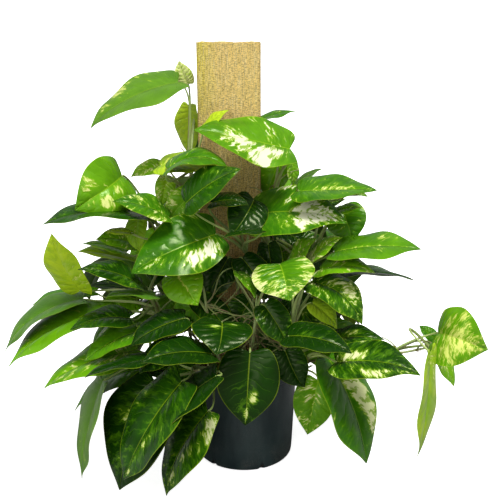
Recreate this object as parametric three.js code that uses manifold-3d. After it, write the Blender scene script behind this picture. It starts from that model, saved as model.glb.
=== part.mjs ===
// A golden pothos in a nursery pot, climbing a rough board.
// Millimetres, +Z up, origin at the centre of the pot's foot, -Y towards the viewer.
import * as THREE from "three";
import { mergeVertices } from "three/addons/utils/BufferGeometryUtils.js";
import Module from "manifold-3d";

const wasm = await Module();
wasm.setup();

// Pot: a ten inch nursery pot.
const POT_HEIGHT = 230;
const POT_TOP_RADIUS = 127;
const POT_FOOT_RADIUS = 116;
const POT_FOOT_ROUND = 9;
const POT_FOOT_STEPS = 4;
const POT_WALL = 2;
const RIM_DEPTH = 14;
const RIM_STAND_OUT = 2.2;
const RIM_SLOPE = 2;
const LIP_ROUND = 1.5;
const LIP_EDGE = 1;
const POT_SIDES = 32;
const DRAIN_COUNT = 6;
const DRAIN_RADIUS = 8;
const DRAIN_REACH = 112;
const DRAIN_HEIGHT = 5;
const DRAIN_SIDES = 8;
const DRAIN_FIRST = 0.35;

// Soil: fills the pot to a little below its rim.
const GAP = 0.35;
const SOIL_TOP = 205;
const SOIL_CROWN = 8;
const SOIL_SHOULDER_RADIUS = 60;
const SOIL_SHOULDER = 0.7;

// Board: nominal six inch, rough sawn, leaning a touch to the left.
const PLANK_WIDTH = 140;
const PLANK_THICKNESS = 22;
const PLANK_FOOT_Z = 40;
const PLANK_TOP_Z = 981;
const PLANK_FOOT_X = -29;
const PLANK_TOP_X = -34;
const PLANK_Y = 11;

// Vines: stem, leaf stalk and blade sizes.
const STEM_RADIUS = 3.4;
const STEM_TIP_RADIUS = 2.3;
const STEM_SIDES = 5;
const STEM_RING_STEP = 0.5;
const STEM_ROOT_Z = 150;
const STEM_BURIED_Z = [STEM_ROOT_Z, 180, SOIL_TOP, 222];
const STEM_EASE = 0.3;
const HOLE_CLEARANCE = 0.45;
const STALK_RADIUS = 1.7;
const STALK_LENGTH = 115;
const STALK_START = 0.3;
const STALK_RISE = 0.14;
const STALK_END = 0.16;
const STALK_SINK = 0.2;
const MOUTH_BACK = 1.8;
const MOUTH_SINK = 1.2;
const ROOT_TRIES = 32;
const ROOT_LAST = 0.97;
const ROOT_BELOW = 20;
const ROOT_HIGH_COST = 0.6;
const STALK_STEPS = 3;
const STALK_SIDES = 3;
const BLADE_THICKNESS = 0.9;
const BLADE_RATIO = 0.66;
const BLADE_ROWS = [0.12, 0.28, 0.48, 0.74, 1];

// Blade outline: how deep the notch at the stalk is, how long the point is drawn.
const NOTCH_DEPTH = 0.16;
const NOTCH_ANGLE = 0.4;
const TAPER_POWER = 0.62;
const POINT_PINCH = 0.4;
const POINT_POWER = 6;
const VEIN_SWEEP = 2;
const FOLD_RISE = 0.3;
const FOLD_FALL = 0.22;
const WAVE_HEIGHT = 0.07;
const WAVE_PACE = 9;
const NOTED_PHASE = 2.4;
const FILL_PHASE = 1.7;

// The eye that the leaves' places are noted from: u runs right and v down on a 493 x 498 frame.
const EYE = new THREE.Vector3(5, -1883, 1086);
const EYE_PITCH = THREE.MathUtils.degToRad(16.9);
const EYE_FOCUS = 850;
const EYE_CENTRE_U = 246.5;
const EYE_CENTRE_V = 249;

// Room kept between leaves: cells of a grid that covers the whole plant.
const CELL = 8;
const GRID_LOW = new THREE.Vector3(-680, -520, -20);
const GRID_COUNT = [176, 140, 132];
const SKIN = 2.2;
const SAMPLE_ROWS = 40;
const SAMPLE_COLUMNS = 24;
const STALK_SAMPLES = 30;
const FOREIGN_COST = 10;
const STEM_SAMPLES = 200;
const FIXED_STEP = 5;
const FIXED_TURN = 2;
const DEPTH_SHIFTS = [0, -14, 14, -28, 28, -42, 42, -58, 58, -76, 76, -96, 96];
const STALK_BENDS = [
  [0, 0], [0.25, 0], [-0.25, 0], [0, 0.25], [0, -0.25], [0.4, 0.3], [-0.4, 0.3], [0.4, -0.3], [-0.4, -0.3],
];
const LEAST_Z = 5;

const COLOURS = {
  pot: 0x263332,
  soil: 0x33261c,
  plank: 0xa08a4e,
  vine: 0x4f8f1e,
};

// Fill leaves that no view shows one by one: how many to try, how far forward they may come,
// how far they turn from straight outwards, how far out they start and how long they are.
const FILL_BACK = { fill: 8, near: -60, spread: 75, reach: [70, 150], lengths: [140, 215] };

// Each vine: its course in millimetres above the soil, and its leaves.
// A leaf is [base u, v, y, tip u, v, y, breadth in the view, side its face leans to, bow],
// and on a slender leaf its width over its length.
const VINES = [
  {
    name: "vine_crown_left",
    course: [[-88, -24, 238], [-94, -22, 400], [-114, -24, 600], [-122, -22, 735]],
    leaves: [
      [178, 82, -30, 89, 126, -80, 27, "up", 0.09],
      [188, 84, -22, 178, 61, -30, 17, "left", 0.05],
      [190, 106, 36, 190, 157, 40, 21, "left", 0.05],
      [203, 130, -40, 229, 110, -36, 8, "up", 0.08],
      [160, 166, -50, 222, 170, -75, 20, "up", 0.08],
      [168, 169, -32, 229, 167, -43, 17, "up", 0.2],
      [167, 177, -60, 161, 206, -75, 19, "left", 0.08],
      [190, 186, -45, 181, 208, -60, 15, "right", 0.05],
      [164, 167, -25, 131, 177, -45, 15, "up", 0.12],
      [196, 192, -20, 166, 224, -45, 28, "left", 0.08],
    ],
  },
  {
    name: "vine_crown_right",
    course: [[38, -28, 238], [46, -24, 400], [60, -18, 600], [74, -14, 700]],
    leaves: [
      [290, 149, -35, 194, 127, -70, 39, "up", 0.02],
      [250, 215, -75, 348, 219, -140, 45, "up", 0.05],
      [283, 157, -12, 266, 200, -25, 28, "left", 0.1],
      [292, 160, -5, 293, 186, -15, 11, "right", 0.05],
      [298, 191, -60, 377, 189, -110, 23, "up", 0.02],
      [294, 186, -20, 322, 168, -10, 6, "up", 0.05],
      [262, 201, -40, 318, 199, -55, 11, "up", 0.22],
      [340, 197, -70, 368, 197, -80, 9, "up", 0.2],
    ],
  },
  {
    name: "vine_middle",
    course: [[-15, -44, 238], [-12, -48, 330], [0, -60, 460], [6, -62, 540]],
    leaves: [
      [216, 234, -115, 130, 271, -190, 54, "up", 0.08],
      [254, 200, -45, 231, 237, -110, 38, "left", 0.08],
      [211, 203, -25, 249, 204, -42, 15, "up", 0.12],
      [262, 231, -80, 222, 237, -105, 6, "up", 0.02],
      [186, 203, -70, 240, 168, -95, 30, "up", 0.08],
      [228, 258, -40, 206, 300, -70, 30, "left", 0.08],
      [242, 258, -40, 266, 300, -75, 30, "right", 0.08],
    ],
  },
  {
    name: "vine_left_high",
    course: [[-114, 2, 238], [-136, -5, 330], [-165, -25, 480], [-185, -35, 560]],
    leaves: [
      [122, 176, -90, 74, 209, -165, 54, "up", 0.24],
      [150, 215, -75, 42, 224, -120, 21, "up", 0.09],
      [169, 217, -105, 113, 201, -140, 19, "up", 0.08],
      [138, 217, -90, 139, 252, -125, 20, "left", 0.08],
      [134, 244, -100, 96, 239, -130, 18, "up", 0.1],
      [124, 252, -85, 82, 244, -105, 9, "up", 0.08],
      [136, 262, -110, 78, 250, -140, 13, "up", 0.04],
      [132, 233, -125, 104, 231, -140, 6, "up", 0.02],
      [170, 238, -50, 128, 262, -80, 28, "up", 0.1],
    ],
  },
  {
    name: "vine_left_middle",
    course: [[-112, -20, 238], [-165, -50, 300], [-205, -70, 400], [-225, -80, 455]],
    leaves: [
      [80, 291, -95, 52, 234, -120, 30, "left", 0.06],
      [147, 287, -110, 112, 262, -135, 20, "up", 0.08],
      [140, 285, -130, 78, 269, -160, 18, "up", 0.1],
      [155, 296, -130, 105, 296, -165, 9, "up", 0.05],
      [83, 299, -70, 3, 352, -110, 17, "up", 0.12],
      [152, 293, -60, 88, 286, -90, 17, "up", 0.06],
      [95, 292, -55, 32, 304, -75, 11, "up", 0.08],
      [110, 309, -115, 7, 364, -185, 25, "up", 0.09],
      [130, 318, -150, 70, 330, -185, 20, "up", 0.1],
      [160, 262, -15, 128, 300, -40, 30, "up", 0.1],
      [135, 300, -60, 95, 322, -90, 26, "up", 0.1],
    ],
  },
  {
    name: "vine_left_low",
    course: [[-98, -48, 238], [-175, -95, 275], [-222, -125, 288]],
    leaves: [
      [137, 350, -160, 43, 386, -205, 28, "up", 0.08],
      [142, 330, -175, 84, 362, -215, 22, "up", 0.1],
      [200, 372, -85, 142, 374, -115, 22, "up", 0.08],
      [152, 358, -165, 84, 376, -200, 12, "up", 0.02],
      [103, 381, -190, 80, 479, -225, 17, "left", 0.03],
      [158, 366, -145, 74, 411, -190, 22, "up", 0.14],
      [185, 318, -130, 130, 345, -165, 26, "up", 0.1],
      [178, 345, -125, 138, 372, -155, 24, "up", 0.08],
    ],
  },
  {
    name: "vine_rim_left",
    course: [[-62, -86, 240], [-84, -142, 268], [-120, -168, 290]],
    leaves: [
      [208, 411, -232, 164, 494, -262, 39, "left", 0.1],
      [182, 381, -290, 123, 482, -340, 46, "left", 0.08],
      [158, 385, -185, 119, 491, -240, 60, "left", 0.08],
      [216, 376, -205, 150, 452, -245, 23, "up", 0.08],
      [212, 354, -200, 141, 362, -250, 27, "up", 0.08],
    ],
  },
  {
    name: "vine_front_left",
    course: [[-40, -72, 238], [-60, -115, 300], [-80, -135, 400], [-85, -140, 440]],
    leaves: [
      [176, 274, -150, 197, 306, -205, 38, "left", 0.1],
      [222, 322, -180, 218, 355, -270, 56, "up", 0.1],
      [190, 322, -150, 150, 340, -185, 18, "up", 0.1],
      [204, 298, -25, 172, 332, -50, 28, "left", 0.08],
      [170, 300, -50, 140, 330, -80, 20, "up", 0.1],
      [198, 300, -70, 232, 340, -100, 28, "up", 0.1],
      [155, 322, -80, 115, 348, -110, 24, "up", 0.1],
    ],
  },
  {
    name: "vine_front_middle",
    course: [[5, -84, 238], [12, -125, 290], [22, -135, 370], [26, -132, 420]],
    leaves: [
      [280, 264, -150, 289, 301, -222, 58, "up", 0.1],
      [238, 272, -125, 256, 298, -165, 10, "right", 0.05],
      [250, 352, -205, 246, 426, -240, 58, "left", 0.06],
      [250, 300, -75, 232, 340, -105, 32, "left", 0.08],
      [286, 322, -60, 262, 362, -95, 28, "left", 0.08],
      [264, 305, -80, 288, 345, -115, 30, "right", 0.08],
    ],
  },
  {
    name: "vine_front_right",
    course: [[54, -72, 238], [80, -115, 280], [98, -130, 340], [110, -135, 390]],
    leaves: [
      [312, 282, -130, 362, 325, -180, 32, "up", 0.2],
      [312, 303, -140, 338, 328, -165, 18, "up", 0.05],
      [288, 336, -165, 352, 352, -215, 28, "up", 0.1],
      [326, 341, -125, 384, 340, -160, 20, "up", 0.1],
      [320, 270, -95, 375, 272, -145, 18, "up", 0.12],
      [307, 263, -100, 341, 236, -120, 14, "up", 0.05],
      [290, 266, -95, 316, 238, -115, 15, "up", 0.05],
      [300, 334, -100, 334, 372, -135, 28, "right", 0.08],
      [322, 264, -80, 335, 246, -90, 9, "up", 0.05],
      [290, 298, -70, 322, 336, -105, 28, "up", 0.1],
    ],
  },
  {
    name: "vine_rim_right",
    course: [[78, -52, 240], [110, -122, 266], [134, -154, 284]],
    leaves: [
      [328, 358, -190, 367, 465, -240, 46, "right", 0.05],
      [336, 362, -175, 421, 372, -225, 35, "up", 0.06],
      [318, 380, -165, 308, 435, -195, 38, "left", 0.06],
      [285, 350, -155, 303, 388, -175, 32, "right", 0.05],
    ],
  },
  {
    name: "vine_right_high",
    course: [[92, -8, 238], [115, -20, 330], [140, -35, 450], [150, -40, 505]],
    leaves: [
      [334, 252, -70, 421, 249, -120, 26, "up", 0.05],
      [341, 207, -60, 353, 243, -100, 38, "up", 0.1],
      [323, 207, -90, 345, 199, -105, 9, "up", 0.05],
      [333, 212, -70, 361, 207, -85, 8, "up", 0.05],
      [338, 273, -50, 415, 279, -75, 9, "up", 0.04],
      [262, 226, -8, 308, 246, -24, 24, "up", 0.08],
      [268, 244, -14, 277, 287, -34, 24, "left", 0.08],
      [300, 240, -45, 334, 284, -80, 32, "up", 0.1],
      [292, 244, -35, 278, 286, -60, 28, "left", 0.08],
    ],
  },
  {
    name: "vine_trailing_right",
    course: [
      [102, -36, 238], [185, -85, 275], [260, -105, 300], [335, -115, 302],
      [400, -120, 316], [445, -125, 330],
    ],
    leaves: [
      [438, 333, -130, 490, 352, -225, 56, "up", 0.22],
      [437, 340, -118, 419, 326, -105, 12, "up", 0.05],
      [430, 342, -135, 455, 386, -165, 18, "right", 0.06],
      [430, 352, -140, 418, 459, -170, 12, "right", 0.03, 0.45],
    ],
  },
  {
    name: "vine_crown_back",
    course: [[-30, 46, 238], [-20, 44, 450], [8, 42, 700], [20, 44, 770]],
    leaves: [[250, 125, 48, 296, 111, 62, 7, "up", 0.05]],
    ...FILL_BACK,
  },
  {
    name: "vine_back_left",
    course: [[-62, 62, 238], [-90, 90, 350], [-84, 104, 540]],
    leaves: [],
    ...FILL_BACK,
  },
  {
    name: "vine_back_middle",
    course: [[4, 84, 238], [8, 112, 350], [-12, 96, 580]],
    leaves: [],
    ...FILL_BACK,
  },
  {
    name: "vine_back_right",
    course: [[60, 62, 238], [95, 95, 350], [92, 104, 540]],
    leaves: [],
    ...FILL_BACK,
  },
  {
    name: "vine_side_left",
    course: [[-96, 38, 238], [-160, 62, 330], [-190, 72, 450]],
    leaves: [],
    ...FILL_BACK,
  },
  {
    name: "vine_side_right",
    course: [[96, 38, 238], [160, 62, 330], [192, 72, 430]],
    leaves: [],
    ...FILL_BACK,
  },
];

// Fill leaves stay inside the plant's outline as the eye sees it.
const OUTLINE = [
  [140, 178], [150, 165], [165, 158], [196, 155], [200, 100], [258, 100], [262, 156], [275, 160], [297, 186],
  [330, 176], [345, 180], [350, 210], [362, 232], [395, 240], [398, 254], [372, 262], [365, 290], [362, 330],
  [398, 350], [400, 362], [368, 385], [358, 430], [310, 420], [297, 395], [200, 395], [190, 440], [150, 440],
  [110, 420], [105, 385], [70, 370], [60, 350], [35, 345], [60, 300], [80, 270], [75, 255], [90, 225],
  [75, 220], [85, 205], [130, 200],
];
const FILL_TRIES = 40;
const FILL_LOWEST = 0.6;
const FILL_DROP = [10, 60];
const FILL_RISE = [10, 90];
const FILL_TILT = 0.4;
const FILL_BOW = 0.1;
const SEED = 20240611;
const DRAW_FACTOR = 1664525;
const DRAW_STEP = 1013904223;
const DRAW_RANGE = 2 ** 32;

const LEANS = {
  up: new THREE.Vector3(0, 0, 1),
  left: new THREE.Vector3(-1, 0, 0),
  right: new THREE.Vector3(1, 0, 0),
};
const UP = LEANS.up;

// Small helpers.
const mix = (a, b, t) => a + (b - a) * t;
const along = (origin, ...steps) => {
  const point = origin.clone();
  for (const [direction, length] of steps) {
    point.addScaledVector(direction, length);
  }
  return point;
};
const square = (vector, axis) => along(vector, [axis, -vector.dot(axis)]).normalize();

// Seeded draws between 0 and 1.
function makeDraw(seed) {
  let state = seed >>> 0;
  return () => {
    state = (Math.imul(state, DRAW_FACTOR) + DRAW_STEP) >>> 0;
    return state / DRAW_RANGE;
  };
}
const draw = makeDraw(SEED);

// The point at depth y that the eye sees at u, v; and where the eye sees a point.
function placeAt(u, v, y) {
  const across = (u - EYE_CENTRE_U) / EYE_FOCUS;
  const rise = (EYE_CENTRE_V - v) / EYE_FOCUS;
  const depth = Math.cos(EYE_PITCH) + rise * Math.sin(EYE_PITCH);
  const height = rise * Math.cos(EYE_PITCH) - Math.sin(EYE_PITCH);
  const reach = (y - EYE.y) / depth;
  return new THREE.Vector3(EYE.x + reach * across, y, EYE.z + reach * height);
}

function seenAt(point) {
  const dy = point.y - EYE.y;
  const dz = point.z - EYE.z;
  const depth = dy * Math.cos(EYE_PITCH) - dz * Math.sin(EYE_PITCH);
  const height = dy * Math.sin(EYE_PITCH) + dz * Math.cos(EYE_PITCH);
  return [
    EYE_CENTRE_U + (EYE_FOCUS * (point.x - EYE.x)) / depth,
    EYE_CENTRE_V - (EYE_FOCUS * height) / depth,
    depth,
  ];
}

// Crossing test of a ray to the right with the outline's edges.
function insideOutline(u, v) {
  let inside = false;
  for (let i = 0, j = OUTLINE.length - 1; i < OUTLINE.length; j = i, i += 1) {
    const [ui, vi] = OUTLINE[i];
    const [uj, vj] = OUTLINE[j];
    if (vi > v !== vj > v && u < ((uj - ui) * (v - vi)) / (vj - vi) + ui) {
      inside = !inside;
    }
  }
  return inside;
}

// A smooth curve through points: q runs from 0 at the first to 1 at the last.
function curveAt(points, q) {
  const last = points.length - 1;
  const span = Math.min(Math.floor(q * last), last - 1);
  const t = q * last - span;
  const p1 = points[span];
  const p2 = points[span + 1];
  const p0 = span > 0 ? points[span - 1] : along(p1, [p1, 1], [p2, -1]);
  const p3 = span + 2 <= last ? points[span + 2] : along(p2, [p2, 1], [p1, -1]);
  return new THREE.Vector3()
    .addScaledVector(p0, 0.5 * (-t + 2 * t * t - t * t * t))
    .addScaledVector(p1, 0.5 * (2 - 5 * t * t + 3 * t * t * t))
    .addScaledVector(p2, 0.5 * (t + 4 * t * t - 3 * t * t * t))
    .addScaledVector(p3, 0.5 * (-t * t + t * t * t));
}

// The frame of a blade that runs from base to tip and faces along its normal.
function makeBlade(base, tip, facing, width, bow, phase) {
  const axis = along(tip, [base, -1]);
  const length = axis.length();
  axis.normalize();
  const normal = square(facing, axis);
  const side = new THREE.Vector3().crossVectors(normal, axis);
  return { base, axis, normal, side, length, width, bow, phase };
}

// The taper's greatest value, where the blade is widest.
const WIDEST_ANGLE = Math.atan(1 / Math.sqrt(1 + TAPER_POWER));
const WIDEST_TAPER = Math.sin(WIDEST_ANGLE) * Math.cos(WIDEST_ANGLE) ** (1 + TAPER_POWER);

// Half outline at s: the place on the midrib, and the margin's place along and across.
function outlineAt(s) {
  const angle = Math.PI * s;
  const sweep = (1 - Math.cos(angle)) / 2;
  const notch = 1 - Math.exp(-((angle / NOTCH_ANGLE) ** 2));
  const taper = Math.sin(angle / 2) * Math.abs(Math.cos(angle / 2)) ** (1 + TAPER_POWER);
  return {
    rib: sweep ** VEIN_SWEEP,
    reach: sweep * (1 + NOTCH_DEPTH) - NOTCH_DEPTH * notch,
    half: (0.5 * taper * (1 - POINT_PINCH * sweep ** POINT_POWER)) / WIDEST_TAPER,
  };
}

// A point of the blade: s from stalk to tip, t from -1 to 1 across, lift along its face.
function bladePoint(blade, s, t, lift) {
  const { rib, reach, half } = outlineAt(s);
  const a = Math.abs(t);
  const x = mix(rib, reach, a);
  const y = t * half * blade.width;
  const slope = 4 * blade.bow * (1 - 2 * x);
  const stretch = Math.hypot(1, slope);
  const dish = half * blade.width * (FOLD_RISE * a - FOLD_FALL * a * a);
  const ripple = Math.sin(WAVE_PACE * s + blade.phase + Math.sign(t));
  const wave = WAVE_HEIGHT * half * blade.width * a * a * ripple;
  const rise = (lift + dish + wave) / stretch;
  return along(
    blade.base,
    [blade.axis, x * blade.length - slope * rise],
    [blade.normal, 4 * blade.bow * x * (1 - x) * blade.length + rise],
    [blade.side, y],
  );
}

// The stalk's curve: it leaves the stem upwards and outwards and meets the blade from below.
function stalkPoints(root, blade, bend) {
  const chord = along(blade.base, [root, -1]);
  const span = chord.length();
  const heading = chord.clone().normalize();
  const crosswise = new THREE.Vector3().crossVectors(heading, UP);
  crosswise.addScaledVector(LEANS.right, 1e-3).normalize();
  const lift = new THREE.Vector3().crossVectors(crosswise, heading);
  const first = along(root, [heading, STALK_START * span], [UP, STALK_RISE * span]);
  const second = along(blade.base, [blade.axis, -STALK_END * span], [blade.normal, -STALK_SINK * span]);
  for (const point of [first, second]) {
    point.addScaledVector(crosswise, bend[0] * span).addScaledVector(lift, bend[1] * span);
  }
  return [root, first, second, blade.base];
}

function bezierAt(points, t) {
  const r = 1 - t;
  return new THREE.Vector3()
    .addScaledVector(points[0], r * r * r)
    .addScaledVector(points[1], 3 * r * r * t)
    .addScaledVector(points[2], 3 * r * t * t)
    .addScaledVector(points[3], t * t * t);
}

// Cells that are taken: one map for blades, one for stalks, stems, board and pot by owner.
const FIXED = 255;
const bladeCells = new Uint8Array(GRID_COUNT[0] * GRID_COUNT[1] * GRID_COUNT[2]);
const stalkCells = new Uint8Array(bladeCells.length);

function cellOf(point) {
  const ix = Math.floor((point.x - GRID_LOW.x) / CELL);
  const iy = Math.floor((point.y - GRID_LOW.y) / CELL);
  const iz = Math.floor((point.z - GRID_LOW.z) / CELL);
  return ix + GRID_COUNT[0] * (iy + GRID_COUNT[1] * iz);
}

function markRod(point, radius, owner) {
  stalkCells[cellOf(point)] = owner;
  for (const offset of [-radius, radius]) {
    for (const axis of ["x", "y", "z"]) {
      const beside = point.clone();
      beside[axis] += offset;
      stalkCells[cellOf(beside)] = owner;
    }
  }
}

// Points spread over the blade's flat facets.
function bladeSamples(blade, lift) {
  const rows = [0, ...BLADE_ROWS];
  const lines = rows.map((s) => [-1, 0, 1].map((t) => bladePoint(blade, s, t, lift)));
  const points = [];
  let row = 0;
  for (let i = 1; i <= SAMPLE_ROWS; i += 1) {
    const s = i / SAMPLE_ROWS;
    while (rows[row + 1] < s) {
      row += 1;
    }
    const f = (s - rows[row]) / (rows[row + 1] - rows[row]);
    const [left, rib, right] = [0, 1, 2].map((k) => lines[row][k].clone().lerp(lines[row + 1][k], f));
    for (let j = 0; j <= SAMPLE_COLUMNS; j += 1) {
      const t = (2 * j) / SAMPLE_COLUMNS - 1;
      points.push(rib.clone().lerp(t < 0 ? left : right, Math.abs(t)));
    }
  }
  return points;
}

// Points spread along the stalk's straight steps.
function stalkSamples(stalk) {
  const points = [];
  for (let i = 0; i <= STALK_SAMPLES; i += 1) {
    const step = Math.min(Math.floor((i * STALK_STEPS) / STALK_SAMPLES), STALK_STEPS - 1);
    const from = bezierAt(stalk, step / STALK_STEPS);
    const to = bezierAt(stalk, (step + 1) / STALK_STEPS);
    points.push(from.lerp(to, (i * STALK_STEPS) / STALK_SAMPLES - step));
  }
  return points;
}

// What it costs to stand in a cell: much where another vine holds it, little where its own does.
function costOf(holder, owner) {
  if (!holder) {
    return 0;
  }
  return holder === owner ? 1 : FOREIGN_COST;
}

function bladeClashes(blade, owner) {
  let cost = 0;
  for (const point of bladeSamples(blade, 0)) {
    const cell = cellOf(point);
    cost += costOf(bladeCells[cell], owner) + costOf(stalkCells[cell], owner);
    cost += point.z < LEAST_Z ? FOREIGN_COST : 0;
  }
  return cost;
}

function stalkClashes(stalk, owner) {
  let cost = 0;
  for (const point of stalkSamples(stalk)) {
    const cell = cellOf(point);
    cost += costOf(bladeCells[cell], owner);
    cost += stalkCells[cell] === owner ? 0 : costOf(stalkCells[cell], owner);
  }
  return cost;
}

function settle(leaf, owner) {
  for (const lift of [-SKIN, 0, SKIN]) {
    for (const point of bladeSamples(leaf.blade, lift)) {
      bladeCells[cellOf(point)] = owner;
    }
  }
  for (const point of stalkSamples(leaf.stalk)) {
    markRod(point, 2 * STALK_RADIUS, owner);
  }
}

// The stem point that a leaf's stalk starts from: below the tip, about a stalk's length away
// and no higher.
function rootFor(stem, base) {
  let best = null;
  let least = Infinity;
  const shown = STEM_BURIED_Z.length / (stem.length - 1);
  for (let i = 0; i <= ROOT_TRIES; i += 1) {
    const point = curveAt(stem, mix(shown, ROOT_LAST, i / ROOT_TRIES));
    const above = Math.max(0, point.z - base.z + ROOT_BELOW);
    const cost = Math.abs(point.distanceTo(base) - STALK_LENGTH) + ROOT_HIGH_COST * above;
    if (cost < least) {
      least = cost;
      best = point;
    }
  }
  return best;
}

// Try blades in turn, each with every bend of its stalk, and keep the first that is clear.
function choose(blades, stem, owner) {
  let best = null;
  let least = Infinity;
  for (const blade of blades) {
    const crossed = bladeClashes(blade, owner);
    if (crossed < least) {
      for (const bend of STALK_BENDS) {
        const stalk = stalkPoints(rootFor(stem, blade.base), blade, bend);
        const clashes = crossed + stalkClashes(stalk, owner);
        if (clashes < least) {
          least = clashes;
          best = { blade, stalk, clashes };
        }
        if (least === 0) {
          return best;
        }
      }
    }
  }
  return best;
}

// A leaf noted in the view: its breadth there gives how far its face turns from the eye.
function notedBlade(row, shift, phase) {
  const [u0, v0, y0, u1, v1, y1, breadth, lean, bow, ratio = BLADE_RATIO] = row;
  const base = placeAt(u0, v0, y0 + shift);
  const tip = placeAt(u1, v1, y1 + shift);
  const axis = along(tip, [base, -1]);
  const length = axis.length();
  axis.normalize();
  const seen = (breadth * seenAt(base)[2]) / EYE_FOCUS;
  const width = Math.max(ratio * length, seen);
  const turn = Math.acos(Math.min(1, seen / width));
  const toEye = square(along(EYE, [base, -1]), axis);
  const aside = new THREE.Vector3().crossVectors(axis, toEye);
  if (aside.dot(LEANS[lean]) < 0) {
    aside.negate();
  }
  const facing = along(new THREE.Vector3(), [toEye, Math.cos(turn)], [aside, Math.sin(turn)]);
  return makeBlade(base, tip, facing, width, bow, phase);
}

// A fill leaf: outwards from the board's middle, drooping, with its face to the sky.
function fillBlade(stem, vine, phase) {
  const start = curveAt(stem, mix(FILL_LOWEST, 1, draw()));
  const spread = THREE.MathUtils.degToRad(vine.spread * (2 * draw() - 1));
  const heading = Math.atan2(start.y, start.x) + spread;
  const out = new THREE.Vector3(Math.cos(heading), Math.sin(heading), 0);
  const base = along(start, [out, mix(...vine.reach, draw())], [UP, mix(...FILL_RISE, draw())]);
  const drop = THREE.MathUtils.degToRad(mix(...FILL_DROP, draw()));
  const length = mix(...vine.lengths, draw());
  const tip = along(base, [out, length * Math.cos(drop)], [UP, -length * Math.sin(drop)]);
  return makeBlade(base, tip, along(UP, [out, FILL_TILT]), BLADE_RATIO * length, FILL_BOW, phase);
}

function staysInside(blade, near) {
  return bladeSamples(blade, 0).every((point) => {
    const [u, v] = seenAt(point);
    return point.y > near && insideOutline(u, v);
  });
}

function growNoted(vine, stem, owner) {
  return vine.leaves.map((row, index) => {
    const blades = DEPTH_SHIFTS.map((shift) => notedBlade(row, shift, NOTED_PHASE * index));
    const leaf = choose(blades, stem, owner);
    settle(leaf, owner);
    return leaf;
  });
}

function growFill(vine, stem, owner) {
  const leaves = [];
  for (let index = 0; index < (vine.fill ?? 0); index += 1) {
    const blades = [];
    for (let trial = 0; trial < FILL_TRIES; trial += 1) {
      blades.push(fillBlade(stem, vine, FILL_PHASE * index));
    }
    const leaf = choose(blades.filter((blade) => staysInside(blade, vine.near)), stem, owner);
    if (leaf && leaf.clashes === 0) {
      leaves.push(leaf);
      settle(leaf, owner);
    }
  }
  return leaves;
}

// Solids from geometry and back.
function toSolid(geometry) {
  const bare = geometry.clone();
  bare.deleteAttribute("normal");
  bare.deleteAttribute("uv");
  const merged = mergeVertices(bare, 1e-4);
  const index = merged.index.array;
  const faces = [];
  for (let i = 0; i < index.length; i += 3) {
    const [a, b, c] = index.slice(i, i + 3);
    if (a !== b && b !== c && c !== a) {
      faces.push(a, b, c);
    }
  }
  const vertProperties = new Float32Array(merged.attributes.position.array);
  return new wasm.Manifold(new wasm.Mesh({ numProp: 3, vertProperties, triVerts: new Uint32Array(faces) }));
}

function toGeometry(solid) {
  const mesh = solid.getMesh();
  const geometry = new THREE.BufferGeometry();
  geometry.setAttribute("position", new THREE.BufferAttribute(new Float32Array(mesh.vertProperties), 3));
  geometry.setIndex(new THREE.BufferAttribute(new Uint32Array(mesh.triVerts), 1));
  geometry.computeVertexNormals();
  return geometry;
}

function fromFaces(points, faces) {
  const geometry = new THREE.BufferGeometry();
  geometry.setAttribute("position", new THREE.Float32BufferAttribute(points.flatMap((p) => p.toArray()), 3));
  geometry.setIndex(faces);
  return geometry;
}

// Rings of a rod along points: the last ring's side direction is carried back along it.
function rodRings(centres, radii, sides, side, offset) {
  const rings = [];
  let across = side.clone();
  for (let i = centres.length - 1; i >= 0; i -= 1) {
    const before = centres[Math.max(i - 1, 0)];
    const after = centres[Math.min(i + 1, centres.length - 1)];
    const tangent = along(after, [before, -1]).normalize();
    across = square(across, tangent);
    const over = new THREE.Vector3().crossVectors(across, tangent).negate();
    const ring = [];
    for (let k = 0; k < sides; k += 1) {
      const turn = offset + (2 * Math.PI * k) / sides;
      ring.push(along(centres[i], [across, radii[i] * Math.cos(turn)], [over, radii[i] * Math.sin(turn)]));
    }
    rings.unshift(ring);
  }
  return rings;
}

function wallFaces(ringCount, sides) {
  const faces = [];
  for (let i = 0; i < ringCount - 1; i += 1) {
    for (let k = 0; k < sides; k += 1) {
      const a = i * sides + k;
      const b = i * sides + ((k + 1) % sides);
      faces.push(a, b, a + sides, b, b + sides, a + sides);
    }
  }
  return faces;
}

function stemSolid(stem) {
  const centres = [];
  const radii = [];
  const last = stem.length - 1;
  const buried = STEM_BURIED_Z.length;
  for (let step = 0; step <= last; step += step < buried ? buried : STEM_RING_STEP) {
    centres.push(curveAt(stem, step / last));
    radii.push(mix(STEM_RADIUS, STEM_TIP_RADIUS, step / last));
  }
  const rings = rodRings(centres, radii, STEM_SIDES, LEANS.right, 0);
  const points = rings.flat();
  const faces = wallFaces(rings.length, STEM_SIDES);
  const top = points.length - STEM_SIDES;
  for (let k = 1; k < STEM_SIDES - 1; k += 1) {
    faces.push(0, k + 1, k, top, top + k, top + k + 1);
  }
  return toSolid(fromFaces(points, faces));
}

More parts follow.
